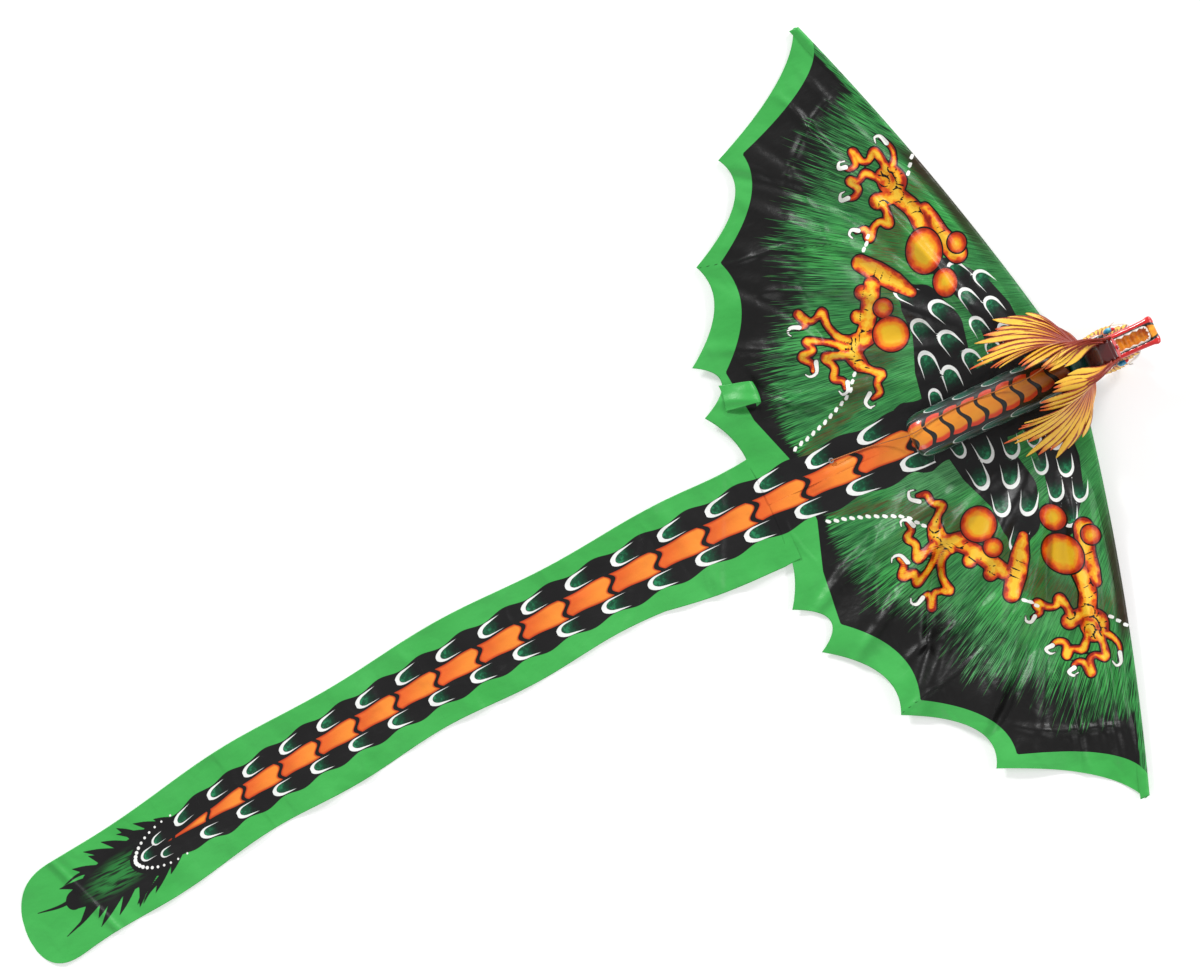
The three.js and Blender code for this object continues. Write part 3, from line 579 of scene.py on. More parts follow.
def brushed_ground(f, spot, cloud, fine, hatch):
    """Green nylon: a thin dark wash, painted highlights and sheen, a rust arc, black brushed in from the
    rear, a dark front, painted crease shade.
    """
    fade, soot = f.field("fade"), f.field("soot")
    brush = f.noise(f.plane(f.field("streak") * 0.36, f.field("reach") * 0.013), 1.0, 3.0)
    inside = fade.rise(-0.4, 0.4)
    dyed = f.mix(cloud, srgb(52, 158, 66), srgb(76, 180, 90))
    wash = f.mix(hatch.rise(0.36, 0.62), srgb(30, 94, 50), srgb(68, 154, 82))
    # Painted highlights: broad patches where the dark wash gives way to the bright dyed green.
    highlight_patch = f.noise(spot, 11.0, 1.0).rise(0.44, 0.66) * hatch.rise(0.30, 0.52)
    wash = f.mix(highlight_patch * 0.7, wash, dyed)
    wash = f.mix(brush.rise(0.58, 0.40) * 0.42, wash, srgb(14, 58, 32))
    # Painted sheen: pale green-white patches where the satin catches the light.
    sheen_patch = f.noise(spot, 7.0, 2.0).rise(0.52, 0.72) * hatch.rise(0.30, 0.60)
    wash = f.mix(sheen_patch * 0.45, wash, srgb(120, 190, 130))
    rust = f.field("rust").rise(-0.05, 0.2) * f.field("rust").rise(1.6, 0.7)
    rust_hair = (rust * 0.62 + (hatch - 0.5) * 2.6 + (brush - 0.5) * 1.2).rise(0.42, 0.80)
    front = f.field("front") + (brush - 0.5) * 5
    far = f.field("far")
    shade = front.rise(17.0, 8.0) * far.rise(345.0, 300.0) * far.rise(120.0, 220.0)
    wash = f.mix(rust_hair * 0.85, wash, f.mix(fine, srgb(60, 34, 18), srgb(92, 66, 34)))
    thin_soot = (soot * 0.62 + (hatch - 0.5) * 2.6 + (brush - 0.5) * 1.0).rise(1.12, 0.62)
    wash = f.mix(thin_soot * 0.82, wash, srgb(14, 34, 22))
    wash = f.mix(shade * 0.9, wash, f.mix(hatch, srgb(24, 16, 12), srgb(58, 34, 22)))
    colour = f.mix(inside, dyed, wash)
    sooty = (soot + (brush - 0.5) * 2.2 + (hatch - 0.5) * 1.5).rise(1.14, 0.84)
    colour = f.mix(sooty * inside, colour, f.mix(fine, srgb(11, 10, 10), srgb(24, 23, 23)))
    edge_strip = front.rise(9.0, 7.0) * far.rise(300.0, 340.0) * inside
    colour = f.mix(edge_strip, colour, f.mix(hatch.rise(0.35, 0.6), srgb(16, 52, 26), srgb(58, 150, 74)))
    # Painted shade: a thin dark line along the fold from (-355, 288) to (-164, 237).
    return f.mix(f.field("crease_shade").rise(-0.2, 0.2) * 0.8, colour, srgb(14, 30, 20))


def bands_and_scales(f, colour, spot, cloud, fine, hatch):
    """The tuft, black bands, orange plates and white-lined scales, laid over the colour."""
    hair = f.field("hair")
    heart = f.field("heart").rise(0.0, 0.7) * hatch.rise(0.35, 0.6)
    black = f.mix(cloud, srgb(15, 14, 15), srgb(30, 29, 30))
    colour = f.mix(hair.rise(-0.35, 0.35), colour, f.mix(heart * 0.8, black, srgb(50, 140, 66)))
    leg = f.field("leg")
    colour = f.mix(leg.rise(-0.35, 0.35), colour, black)
    plate = f.field("plate")
    plate_along = f.field("plate_along")
    plate_paint = f.mix(plate_along.rise(0.1, 0.95), srgb(246, 146, 52), srgb(222, 92, 36))
    plate_paint = f.mix(fine * 0.35, plate_paint, srgb(240, 120, 60))
    plate_paint = f.mix(plate.rise(3.4, 0.0), plate_paint, srgb(190, 62, 28))
    colour = f.mix(plate.rise(-0.3, 0.3), colour, plate_paint)
    scale_out, scale_in, along = (f.field(n) for n in ("scale_out", "scale_in", "scale_along"))
    streaked = f.noise(spot, 240.0, 2.0)
    leaf = f.mix(along.rise(0.2, 0.8), srgb(40, 134, 88), srgb(10, 44, 32))
    leaf = f.mix((streaked + along * 0.3).rise(0.42, 0.66) * 0.75, leaf, srgb(10, 50, 36))
    colour = f.mix(scale_in.rise(0.0, 0.8) * (along + streaked * 0.5).rise(1.15, 0.72), colour, leaf)
    white = scale_out.rise(-0.25, 0.25) * scale_in.rise(0.25, -0.25) * along.rise(0.96, 0.80)
    return f.mix(white, colour, f.mix(fine, srgb(222, 226, 222), srgb(250, 250, 248))), white


def limbs_and_claws(f, colour, spot):
    """The orange limbs and muscles, shaded red to their black edges, with claws and dots."""
    limb = f.field("limb")
    ball = f.field("ball")
    ink = f.field("ink")
    blotch = f.noise(spot, 85.0, 2.0)
    core = f.field("core") + (blotch - 0.5) * 1.9
    colour = f.mix(limb.rise(-2.0, -1.6), colour, srgb(14, 8, 6))
    skin = f.mix(core.rise(0.05, 0.36), srgb(150, 32, 12), srgb(216, 80, 24))
    skin = f.mix(core.rise(0.34, 0.60), skin, srgb(238, 158, 32))
    skin = f.mix(core.rise(0.70, 0.95) * 0.8, skin, srgb(246, 200, 60))
    colour = f.mix(limb.rise(-0.2, 0.25), colour, skin)
    colour = f.mix(ink.rise(-0.2, 0.2) * limb.rise(-0.5, 0.5), colour, srgb(24, 10, 6))
    colour = f.mix(ball.rise(-1.9, -1.5), colour, srgb(14, 8, 6))
    dabs = ball + (blotch - 0.5) * 9.0
    apple = f.mix(dabs.rise(0.5, 3.6), srgb(160, 38, 12), srgb(214, 76, 22))
    apple = f.mix(dabs.rise(3.2, 6.6), apple, srgb(232, 140, 26))
    apple = f.mix(dabs.rise(7.0, 11.0), apple, srgb(226, 178, 38))
    colour = f.mix(ball.rise(-0.3, 0.3), colour, apple)
    claw = f.field("claw")
    colour = f.mix(claw.rise(-0.5, 0.0), colour, srgb(22, 18, 16))
    colour = f.mix(claw.rise(0.1, 0.6), colour, srgb(238, 238, 232))
    return f.mix(f.field("dots").rise(-0.25, 0.25), colour, srgb(244, 244, 240))


def painted_cloth():
    """Bright nylon, slightly glossy and crumpled. Each layer of paint lies where its field is over 0."""
    f = Finish("painted_nylon")
    spot = f.spot()
    cloud = f.noise(spot, 9.0, 3.0)
    fine = f.noise(spot, 160.0, 3.0)
    hatch = f.noise(f.plane(f.field("streak") * 0.95, f.field("reach") * 0.035, 7.0), 1.0, 2.0)
    colour = brushed_ground(f, spot, cloud, fine, hatch)
    colour, white = bands_and_scales(f, colour, spot, cloud, fine, hatch)
    colour = limbs_and_claws(f, colour, spot)
    crumple = f.noise(spot, 26.0, 4.0, (1.0, 1.35, 1.0))
    ridge = (f.noise(spot, 11.0, 2.0, (1.5, 0.8, 1.0)) - 0.5).size()
    weave = f.noise(spot, 1500.0, 1.0)
    relief = crumple * 0.42 + ridge.rise(0.09, 0.0) * 0.13 + weave * 0.010
    f.bump(relief, 0.0062, 0.9)
    rough = 0.33 + 0.14 * cloud + 0.05 * white
    return f.set(Base_Color=colour, Roughness=rough, Specular_IOR_Level=0.36)


nylon = painted_cloth()

# ---- Sail ------------------------------------------------------------
# Two wings of nylon joined under the body. Each runs from the spar's sleeve to its scalloped rear edge, and
# lies in the long soft folds that the spars pull from the shoulder, with creases from being packed.
# Long folds: from (x, y) to (x, y), with a height and a half width.
FOLDS = [
    ((-60, 50), (-330, 300), 4.6, 11), ((-50, 70), (-300, 390), 3.8, 9),
    ((-100, 60), (-400, 190), 4.2, 8), ((-40, 90), (-160, 470), 3.8, 7),
    ((-150, 60), (-405, 120), 3.4, 7), ((-45, 60), (-230, 400), -3.2, 8),
    ((-120, 240), (-290, 380), -2.6, 7), ((-190, 60), (-350, 290), -3.0, 8),
    ((-70, 120), (-120, 330), 3.2, 5), ((-250, 60), (-410, 150), 3.0, 6),
    ((-355, 290), (-165, 238), 1.6, 3), ((-100, 420), (-240, 350), 2.2, 5),
    ((-200, 200), (-320, 220), 2.4, 5), ((-140, 330), (-200, 450), 2.4, 5),
    ((-240, 110), (-280, 250), -2.0, 6), ((-30, 110), (-110, 430), 2.6, 4),
    ((-300, 60), (-340, 180), 2.2, 6), ((-34, 80), (-132, 480), 4.4, 6),
    ((-66, 90), (-170, 430), 4.0, 7), ((-215, 50), (-330, 110), 4.0, 9),
    ((-130, 90), (-270, 330), 3.6, 12),
]
SWELLS = 26
# Each wing's side, the seed of its random draws, and how strongly it is folded.
WING_FOLDS = {"left": (1, 4, 1.7), "right": (-1, 9, 2.3)}
CLOTH = 0.00035
OVER_FLOOR = 1.6
SAIL_ROWS = 196
TIP_HEIGHT = 5.3


def wing_height(x, y):
    """The sail's own plane at the hinge, falling in a straight line to the tip's height."""
    root = NECK[2] + x * FORWARD[2]
    return part_way(root, TIP_HEIGHT, (np.abs(y) - HINGE_Y) / (HALF_SPAN - HINGE_Y))


def grid_faces(rows, columns, wrap=False, flip=False, start=0):
    """Four-sided faces over a grid of rows by columns of points. Wrap joins the last column to the first."""
    index = start + np.arange(rows * columns).reshape(rows, columns)
    if wrap:
        index = np.hstack([index, index[:, :1]])
    corners = [index[:-1, :-1], index[1:, :-1], index[1:, 1:], index[:-1, 1:]]
    return np.stack(corners[::-1] if flip else corners, -1).reshape(-1, 4)


def piece(name, grids, material, slot, fields=None, wrap=False, flip=False, thickness=0.0, caps=False):
    """A mesh from grids of points, each rows x columns x 3 in metres, with a number field per point.

    Caps close the first and last row of each wrapped grid with one face each.
    """
    faces = []
    start = 0
    for grid in grids:
        rows, columns = grid.shape[:2]
        faces += grid_faces(rows, columns, wrap, flip, start).tolist()
        if caps:
            first = list(range(start, start + columns))
            last = list(range(start + (rows - 1) * columns, start + rows * columns))
            faces += [first[::-1], last] if flip else [first, last[::-1]]
        start += rows * columns
    mesh = bpy.data.meshes.new(name)
    mesh.from_pydata(np.concatenate([g.reshape(-1, 3) for g in grids]).tolist(), [], faces)
    mesh.polygons.foreach_set("use_smooth", np.ones(len(faces), bool))
    for key, values in (fields or {}).items():
        mesh.attributes.new(key, "FLOAT", "POINT").data.foreach_set(
            "value", np.concatenate([np.ravel(v) for v in values]).astype(np.float32))
    mesh.materials.append(material)
    if not thickness:
        shell = bmesh.new()
        shell.from_mesh(mesh)
        bmesh.ops.recalc_face_normals(shell, faces=shell.faces)
        shell.to_mesh(mesh)
        shell.free()
    made = bpy.data.objects.new(name, mesh)
    bpy.context.scene.collection.objects.link(made)
    if thickness:
        solidify = made.modifiers.new("thickness", "SOLIDIFY")
        solidify.thickness = thickness
        solidify.offset = 0.0
        solidify.use_even_offset = False
    return made


def cloth_piece(name, x, y, height, **options):
    """A piece of painted nylon over flat places x, y, at a height over the floor."""
    fields = {key: [values] for key, values in cloth_fields(x, y).items()}
    return piece(name, [on_floor(x, y, height)], nylon, "green_cloth", fields, **options)


def wrinkles(x, y, seed, strength):
    """The sum of long folds, each a bell across and a half sine along, and of slow random swells."""
    rng = np.random.default_rng(seed)
    out = np.abs(y)
    height = np.zeros(np.shape(x))
    for (ax, ay), (bx, by), rise, width in FOLDS:
        ax, ay, bx, by = np.array([ax, ay, bx, by]) + rng.normal(0, 9, 4)
        dx, dy = bx - ax, by - ay
        size = np.hypot(dx, dy)
        share = ((x - ax) * dx + (out - ay) * dy) / size**2
        aside = ((x - ax) * dy - (out - ay) * dx) / size
        aside = aside + 6 * np.sin(share * 5 + rng.uniform(0, 6))
        run = np.sin(np.pi * np.clip(share, 0, 1)) ** 0.7
        height += strength * rise * np.exp(-(aside / width) ** 2) * run
    for _ in range(SWELLS):
        way = rng.uniform(0, np.pi)
        pace = rng.uniform(0.02, 0.10)
        wave = np.sin((x * np.cos(way) + out * np.sin(way)) * pace + rng.uniform(0, 6))
        height += 0.019 * strength / pace * wave
    return height + 1.2


def sleeve_depth(out):
    """How far the spar's sleeve reaches back: 25 mm at the hinge, shrinking evenly to 12 mm at the tip."""
    return part_way(25, 12, (out - HINGE_Y) / (HALF_SPAN - HINGE_Y))


def sail_stations(side):
    """Grid of flat places: columns from the middle outwards with lines on each point of the rear edge."""
    stops = [0.0, 0.3, *[p[0] for p in TRAILING_POINTS[:-1]], HALF_SPAN - 1.0]
    across = np.concatenate([np.linspace(a, b, max(int((b - a) / 2.15), 1), endpoint=False)
                             for a, b in zip(stops, stops[1:])] + [[stops[-1]]])
    down = np.linspace(0, 1, SAIL_ROWS)[None]
    out = np.repeat(across[:, None], SAIL_ROWS, 1)
    sleeve = sleeve_depth(out) - 9
    front = np.where(out < 28, -6.0, leading_edge(out) - part_way(0, 1, (out - 28) / 30) * sleeve)
    rear = scallops(out, TRAILING_POINTS, TRAILING_BAYS)
    rear = np.minimum(rear, front - 2)
    return front + (rear - front) * down, side * out


def lifted(x, y, seed, strength):
    """How high the cloth stands over its flat place. It is flat under the body and kept off the floor."""
    out = np.abs(y)
    free = np.clip((out - 30) / 50, 0, 1) * np.clip((leading_edge(out) - x) / 40, 0, 1)
    free = np.maximum(free, np.clip((-x - 235) / 60, 0, 1) * 0.5)
    deepest = -0.4 * np.clip(out - 5, 0, None)
    return np.maximum(wrinkles(x, y, seed, strength) * free, deepest)


def sail_height(x, y, seed, strength):
    """The sail's plane with its folds, kept above the floor, and the bare plane under the body."""
    height = np.maximum(wing_height(x, y) + lifted(x, y, seed, strength), OVER_FLOOR)
    under_body = (np.abs(y) < 32) & (x > -240)
    return np.where(under_body, wing_height(x, y), height)


for label, (side, seed, strength) in WING_FOLDS.items():
    x, y = sail_stations(side)
    sail = cloth_piece(f"sail_{label}", x, y, sail_height(x, y, seed, strength), flip=side < 0,
                       thickness=CLOTH)
    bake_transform(sail)
    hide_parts(f"wing_sail_{label}", *(["sail_centre"] if side > 0 else []))

# ---- Curled hem ------------------------------------------------------
# Near the root of the left wing a loose piece of the green hem has curled over onto the painted side.
# Its plain green is that of the hem's own place, (-404, 150).
CURL_ROWS = 64
CURL_COLUMNS = 34
curl = smooth_path([(-393, 1.0), (-384, 5.5), (-373, 9.0), (-362, 10.2), (-355.5, 8.6), (-353, 5.2),
                    (-355.5, 2.4), (-360, 1.8)], CURL_ROWS)
along = np.linspace(0, 1, CURL_ROWS)[:, None]
across = np.linspace(-1, 1, CURL_COLUMNS)[None]
x = curl[:, :1] + 2.4 * across * (1 - along) - 1.6 * across**2
y = 137 - 13 * along + (15.5 - 3.0 * along) * across
wavy = 3.6 * np.sin(across * 4 + 1) * along * (1 - along)
height = sail_height(x, y, *WING_FOLDS["left"][1:]) + curl[:, 1:] + wavy + 0.8
plain = {key: [values] for key, values in cloth_fields(-404 + 0 * x, 150 + 0 * y).items()}
hem = piece("curled_hem_left", [on_floor(x, y, height)], nylon, "green_cloth", plain, thickness=CLOTH)
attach(hem, "wing_left")
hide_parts("wing_sail_left")

# ---- Tail ------------------------------------------------------------
# One ribbon of the same nylon, sewn on behind the wings. It lies loose on the floor with soft ripples. It
# is made in four lengths that meet edge to edge.
TAIL_FRONT = -388.0
TAIL_END = -1404.0
TAIL_HEIGHT = 1.2
TAIL_COLUMNS = 106
# The second row from each cut lies this close to it, so that the ends stay square.
JOIN_GAP = 0.25
CUTS = [TAIL_FRONT, -550.0, -850.0, -1155.0, TAIL_END]
HINGES = [-400.0, -700.0, -1000.0, -1310.0]
TAIL_BODIES = ["airframe", "tail_front", "tail_middle", "tail_rear", "tail_end"]


def tail_edges(x):
    """Half widths on both sides of the middle line: flared at the root, a superellipse at the end."""
    flare = np.clip((x + 470) / 70, 0, 1)
    left = 57 + 3 * np.sin(x / 47) + 5 * flare * flare
    right = 58 + 3 * np.sin(x / 38 + 2) + 18 * np.clip((x + 560) / 150, 0, 1)
    end = np.clip((TAIL_END + 60 - x) / 60, 0, 1)
    rounding = np.clip(1 - end**2.6, 0.0, 1) ** (1 / 2.2)
    return left * np.maximum(rounding, 0.02), right * np.maximum(rounding, 0.02)


def tail_height(x):
    """From the sail's height at the spine's end down to the floor within a hand's breadth."""
    down = np.clip((SPINE_END - x) / 120, 0, 1)
    return part_way(wing_height(SPINE_END, 0.0) + 0.5, TAIL_HEIGHT, down * (2 - down))


def tail_ripple(x, y):
    """Soft folds across the ribbon, a sharp one near its end, and slow ripples along both edges."""
    b = y - tail_middle_line(x)
    cross = sum(rise * np.exp(-((x - place + lean * b) / width) ** 2) for place, rise, width, lean in (
        (-1322, 4.0, 5, 0.35), (-1308, 2.4, 9, 0.35), (-462, 4.0, 9, -0.5), (-505, 2.4, 12, 0.3),
        (-566, 2.0, 10, -0.7), (-655, 1.4, 14, 0.5), (-745, 1.8, 10, -0.4), (-842, 1.4, 12, 0.6),
        (-930, 2.0, 10, -0.5), (-1035, 1.6, 12, 0.4), (-1120, 1.8, 9, -0.3), (-1216, 1.6, 12, 0.4)))
    edge = 0.5 + 1.7 * (b / 58) ** 2
    slow = 1.1 * np.sin(x / 23 + 2 * np.sin(x / 90)) + 0.8 * np.sin(x / 11.5 + b / 20)
    sway = 0.8 * np.sin(b / 9.0 + np.sin(x / 60) * 2) + 0.6
    return cross + np.maximum(slow * edge * 0.6 + 0.7 * edge, 0) + np.maximum(sway, 0) * 0.5


for i in range(4):
    count = int((CUTS[i] - CUTS[i + 1]) / (1.35 if i < 3 else 1.1))
    x = np.linspace(CUTS[i], CUTS[i + 1], count)[:, None]
    x[1] = x[0] - JOIN_GAP
    x[-2] = x[-1] + JOIN_GAP
    across = np.linspace(1, -1, TAIL_COLUMNS)[None]
    left, right = tail_edges(x)
    y = tail_middle_line(x) + np.where(across > 0, left, right) * across
    x = np.repeat(x, TAIL_COLUMNS, 1)
    settle = np.clip((TAIL_FRONT - 6 - x) / 60, 0, 1)
    height = tail_height(x) + tail_ripple(x, y) * settle
    length = cloth_piece(f"tail_cloth_{i + 1}", x, y, height, flip=True, thickness=CLOTH)
    start, end = (on_floor(HINGES[i] + shift, 0.0, 0.0) for shift in (14, -30))
    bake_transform(length)
    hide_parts(TAIL_BODIES[i + 1])

# ---- Sleeves ---------------------------------------------------------
# The front edge of each wing is folded round its spar and sewn down, which makes a tapering sleeve. It is
# the same painted nylon, drawn tight over the spar, flat at its sewn rear edge and shut over the tip.
def around_once(steps):
    """Angles once round a section, as one row."""
    return np.linspace(0, 2 * np.pi, steps, endpoint=False)[None]


SIDES = ((1, "left"), (-1, "right"))
SLEEVE_ROWS = 216
SLEEVE_COLUMNS = 28
for side, label in SIDES:
    out = np.linspace(64, 498, SLEEVE_ROWS)[:, None]
    turn = around_once(SLEEVE_COLUMNS)
    x = leading_edge(out) - sleeve_depth(out) * (1 - np.cos(turn)) / 2
    nose = np.sin(turn) * (5.2 * ((1 + np.cos(turn)) / 2) ** 0.8 + 0.6)
    pucker = 1 + 0.05 * np.sin(out * 0.55) * np.sin(turn) ** 2
    y = np.repeat(side * out, SLEEVE_COLUMNS, 1)
    height = wing_height(x, y) + 0.5 + nose * pucker
    sleeve = cloth_piece(f"sleeve_{label}", x, y, height, wrap=True, caps=True)
    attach(sleeve, f"wing_{label}")
    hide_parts(f"spar_sleeve_{label}")


# ---- Belly body ------------------------------------------------------
# A half-round hollow body of light wood, painted with gloss enamel. Broad plates run down its belly, and
# its black sides have long dark green scales. Two screws hold it to the spine through the cloth.
def oval_grid(stations, rows, columns, power):
    """Rings along x through (x, half width, top, bottom): a superellipse of cos and sin to the power."""
    x, half, top, bottom = (v[:, None] for v in smooth_path(stations, rows).T)
    turn = around_once(columns) - np.pi / 2
    c, s = np.cos(turn), np.sin(turn)
    across = np.sign(c) * np.abs(c) ** power
    up = np.sign(s) * np.abs(s) ** power
    return x + 0 * c, half * across, (top + bottom) / 2 + (top - bottom) / 2 * up


def enamel(finish, colour, coat=0.6):
    """Brushed gloss paint: the brush leaves fine lines, and the coat is uneven."""
    stroke_marks = finish.noise(finish.spot(), 260.0, 2.0, (0.25, 1.0, 1.0))
    lumps = finish.noise(finish.spot(), 90.0, 2.0)
    finish.bump(stroke_marks * 0.3 + lumps * 0.7, 0.0007, 0.6)
    return finish.set(Base_Color=colour, Roughness=0.24 + 0.18 * lumps, Coat_Weight=coat,
                      Coat_Roughness=0.12)


BODY_STATIONS = [(-212, 9, 31, 9), (-211, 17, 39, 4.4), (-207, 23, 45, 1.8), (-198, 26.4, 48.4, 0.8),
                 (-172, 27, 49, 0.7), (-115, 27, 49, 0.7), (-60, 27, 49, 0.7), (-36, 25, 48, 0.9),
                 (-22, 21, 46, 2), (-12, 17.5, 43.4, 4.6), (-10, 13, 39, 9)]
BODY_ROWS = 250
BODY_COLUMNS = 128
PLATE_PITCH = 22.4
SCALE_PITCH = 37.0
x, y, z = oval_grid(BODY_STATIONS, BODY_ROWS, BODY_COLUMNS, 0.84)
# Each ring's own length is summed from its lowest point, so that side_way is 0 along the body's top.
steps = np.diff(np.stack([y, z]), axis=2, append=np.stack([y, z])[:, :, :1])
ring = np.linalg.norm(steps, axis=0)
around = np.cumsum(ring, 1) - ring
side_way = around - around[:, -1:] / 2
count = (x - PLATE_FRONT) / PLATE_PITCH
wave = count - 0.16 * np.sin(side_way * np.pi / 15.0)
plate_half = part_way(16.5, 10, (x + 75) / 65) - 0.8 * np.cos(2 * np.pi * count)
lanes = [np.full(x.shape, v) for v in (OFF_BAND, OFF_BAND, 0.0)]
for lane, phase in ((26.5, 0.1), (-26.5, 0.55), (40, 0.6), (-40, 0.05)):
    step = (x + 240) / SCALE_PITCH + phase
    lanes = nearer(lanes, horseshoe((step - np.floor(step)) * SCALE_PITCH, side_way - lane, 34, 5.6, 0.75))


def belly_paint():
    """Orange plates with red edges, and black sides whose scales are dark green in a thin white line."""
    f = Finish("belly_enamel")
    grain = f.noise(f.spot(), 120.0, 3.0, (0.3, 1.0, 1.0))
    blend_spots = f.noise(f.spot(), 45.0, 2.0)
    yellow = f.mix(blend_spots, srgb(240, 158, 44), srgb(232, 132, 30))
    yellow = f.mix(grain.rise(0.45, 0.7) * 0.35, yellow, srgb(212, 100, 24))
    red_edge = f.mix(grain, srgb(214, 44, 30), srgb(226, 78, 34))
    plate = f.mix((f.field("plate_side") + (grain - 0.5) * 2.4).rise(7.4, 3.6), yellow, red_edge)
    plate = f.mix(f.field("neck").rise(0.0, 1.0) * 0.8, plate, srgb(112, 48, 16))
    side_black = f.mix(grain, srgb(16, 18, 18), srgb(34, 36, 35))
    scale_green = f.mix(f.field("scale_along").rise(0.1, 0.95), srgb(16, 92, 74), srgb(10, 34, 30))
    side = f.mix(f.field("scale_in").rise(-0.15, 0.15), side_black, scale_green)
    white_line = f.field("scale_out").rise(-0.15, 0.15) * f.field("scale_in").rise(0.15, -0.15)
    side = f.mix(white_line * f.field("scale_along").rise(0.98, 0.7), side, srgb(205, 214, 210))
    return enamel(f, f.mix(f.field("plate").rise(-0.25, 0.25), side, plate))


bar = 2.7 + 0.5 * np.sin(side_way / 4)
ends = (0.5 - np.abs(wave - np.floor(wave) - 0.5)) * PLATE_PITCH - bar
plate_side = plate_half - np.abs(side_way)
body = piece("belly_body", [on_airframe(x, y, z)], belly_paint(), "body_paint", {
    "plate": [np.minimum(ends, plate_side)], "plate_side": [plate_side], "neck": [(x + 62) / 40],
    "scale_out": [lanes[0]], "scale_in": [lanes[1]], "scale_along": [lanes[2]],
}, wrap=True, caps=True)
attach(body, "airframe")
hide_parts("body_barrel")

# ---- Skull -----------------------------------------------------------
# Carved light wood in dark teal enamel with black brushed into its hollows. It is glued on the neck dowel.
# Places on the head are (forwards, back) from the corner of the mouth: forwards along the spine, and back
# from the belly's side, which lies up, towards the crest, which lies down.
MOUTH_X = 16.0
MOUTH_Z = 46.0


def on_head(forwards, back, y):
    """The corner of the mouth plus forwards along the spine, back away from the belly, and y sideways."""
    return on_airframe(MOUTH_X + forwards, y, MOUTH_Z - back)


def teal_paint():
    """Teal with black left in the hollows."""
    f = Finish("teal_enamel")
    hollow = f.noise(f.spot(), 70.0, 3.0)
    teal = f.mix(hollow, srgb(14, 92, 92), srgb(30, 128, 118))
    return enamel(f, f.mix(hollow.rise(0.52, 0.34), teal, srgb(12, 26, 28)))


SKULL = [(-25.5, 9, 14, 32), (-24.6, 14, 7, 39), (-20, 16.6, 3.4, 43), (-10, 17, 3, 45), (2, 17, 8, 46),
         (14, 17, 15, 46), (24, 16.4, 21, 44.5), (32, 14.5, 25, 40), (36, 9, 28, 34)]
SKULL_ROWS = 70
SKULL_COLUMNS = 56
x, y, back = oval_grid(SKULL, SKULL_ROWS, SKULL_COLUMNS, 0.62)
carved = 1 + 0.01 * np.sin(x / 2.6) * np.sin(back / 2.8) * (np.abs(y) > 8)
skull = piece("carved_skull", [on_head(x, back, y * carved)], teal_paint(), "teal_paint",
              wrap=True, caps=True)
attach(skull, "airframe")
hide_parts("skull")


# ---- Jaws ------------------------------------------------------------
# Two carved wooden jaws in thick red gloss, wide open. Each has a hollow along its mouth side, painted
# yellow-orange, with a black line round the hollow's edge.
JAW_ROWS = 110
HALF_SECTION = 34


def swept_jaw(stations, rows):
    """Trough-shaped sections square to the mouth's own line, through stations along it.

    A station is (forwards, back, thickness, half width, hollow's depth, hollow's half width). The
    trough's half section is a smooth line through twelve points, from the hollow's floor over the lip to
    the back. Returns the grid's three coordinates and each point's distance out from the hollow's edge.
    """
    fine = smooth_path(stations, rows)
    line = fine[:, :2]
    along = np.gradient(line, axis=0)
    along /= np.linalg.norm(along, axis=1, keepdims=True)
    away = np.stack([along[:, 1], -along[:, 0]], 1)
    grid = []
    for thick, wide, deep, hollow in fine[:, 2:]:
        hollow = max(hollow, 0.5)
        half = smooth_path([
            (0, deep, -9), (0.6 * hollow, deep, -5), (0.92 * hollow, 0.8 * deep, -2.4),
            (hollow, 0.35 * deep, -1), (hollow + 0.5, 0.35, 0.4),
            (hollow + 0.45 * (wide - hollow), -0.5, 2), (wide - 1.1, 0.5, 4), (wide, 2.2, 6),
            (wide, 0.55 * thick + 0.5, 9), (0.93 * wide, 0.86 * thick, 14), (0.6 * wide, thick, 20),
            (0, thick, 30)], HALF_SECTION)
        mirrored = half[-2:0:-1] * (-1, 1, 1)
        grid.append(np.vstack([half, mirrored]))
    grid = np.array(grid)
    forwards = line[:, None, 0] + away[:, None, 0] * grid[..., 1]
    back = line[:, None, 1] + away[:, None, 1] * grid[..., 1]
    return forwards, back, grid[..., 0], grid[..., 2]


def lip_paint():
    """Red lips with painted shade on the jaw's back, round a yellow-orange hollow with a black line at its
    edge.
    """
    f = Finish("lip_enamel")
    uneven = f.noise(f.spot(), 110.0, 3.0)
    edge = f.field("edge")
    red = f.mix(uneven, srgb(196, 20, 26), srgb(222, 36, 34))
    # Painted shade: the red darkens on the jaw's back, away from the mouth, by each jaw's share of shade.
    red = f.mix((edge + uneven * 3).rise(10, 15) * f.field("jaw_shade"), red, srgb(84, 14, 16))
    inner = f.mix(uneven.rise(0.35, 0.65), srgb(232, 128, 20), srgb(244, 176, 40))
    mouth = f.mix((edge + (uneven - 0.5) * 1.4).rise(-4.2, -3.4), inner, srgb(18, 12, 12))
    return enamel(f, f.mix((edge + (uneven - 0.5) * 1.2).rise(0.5, 1.1), mouth, red), 0.9)


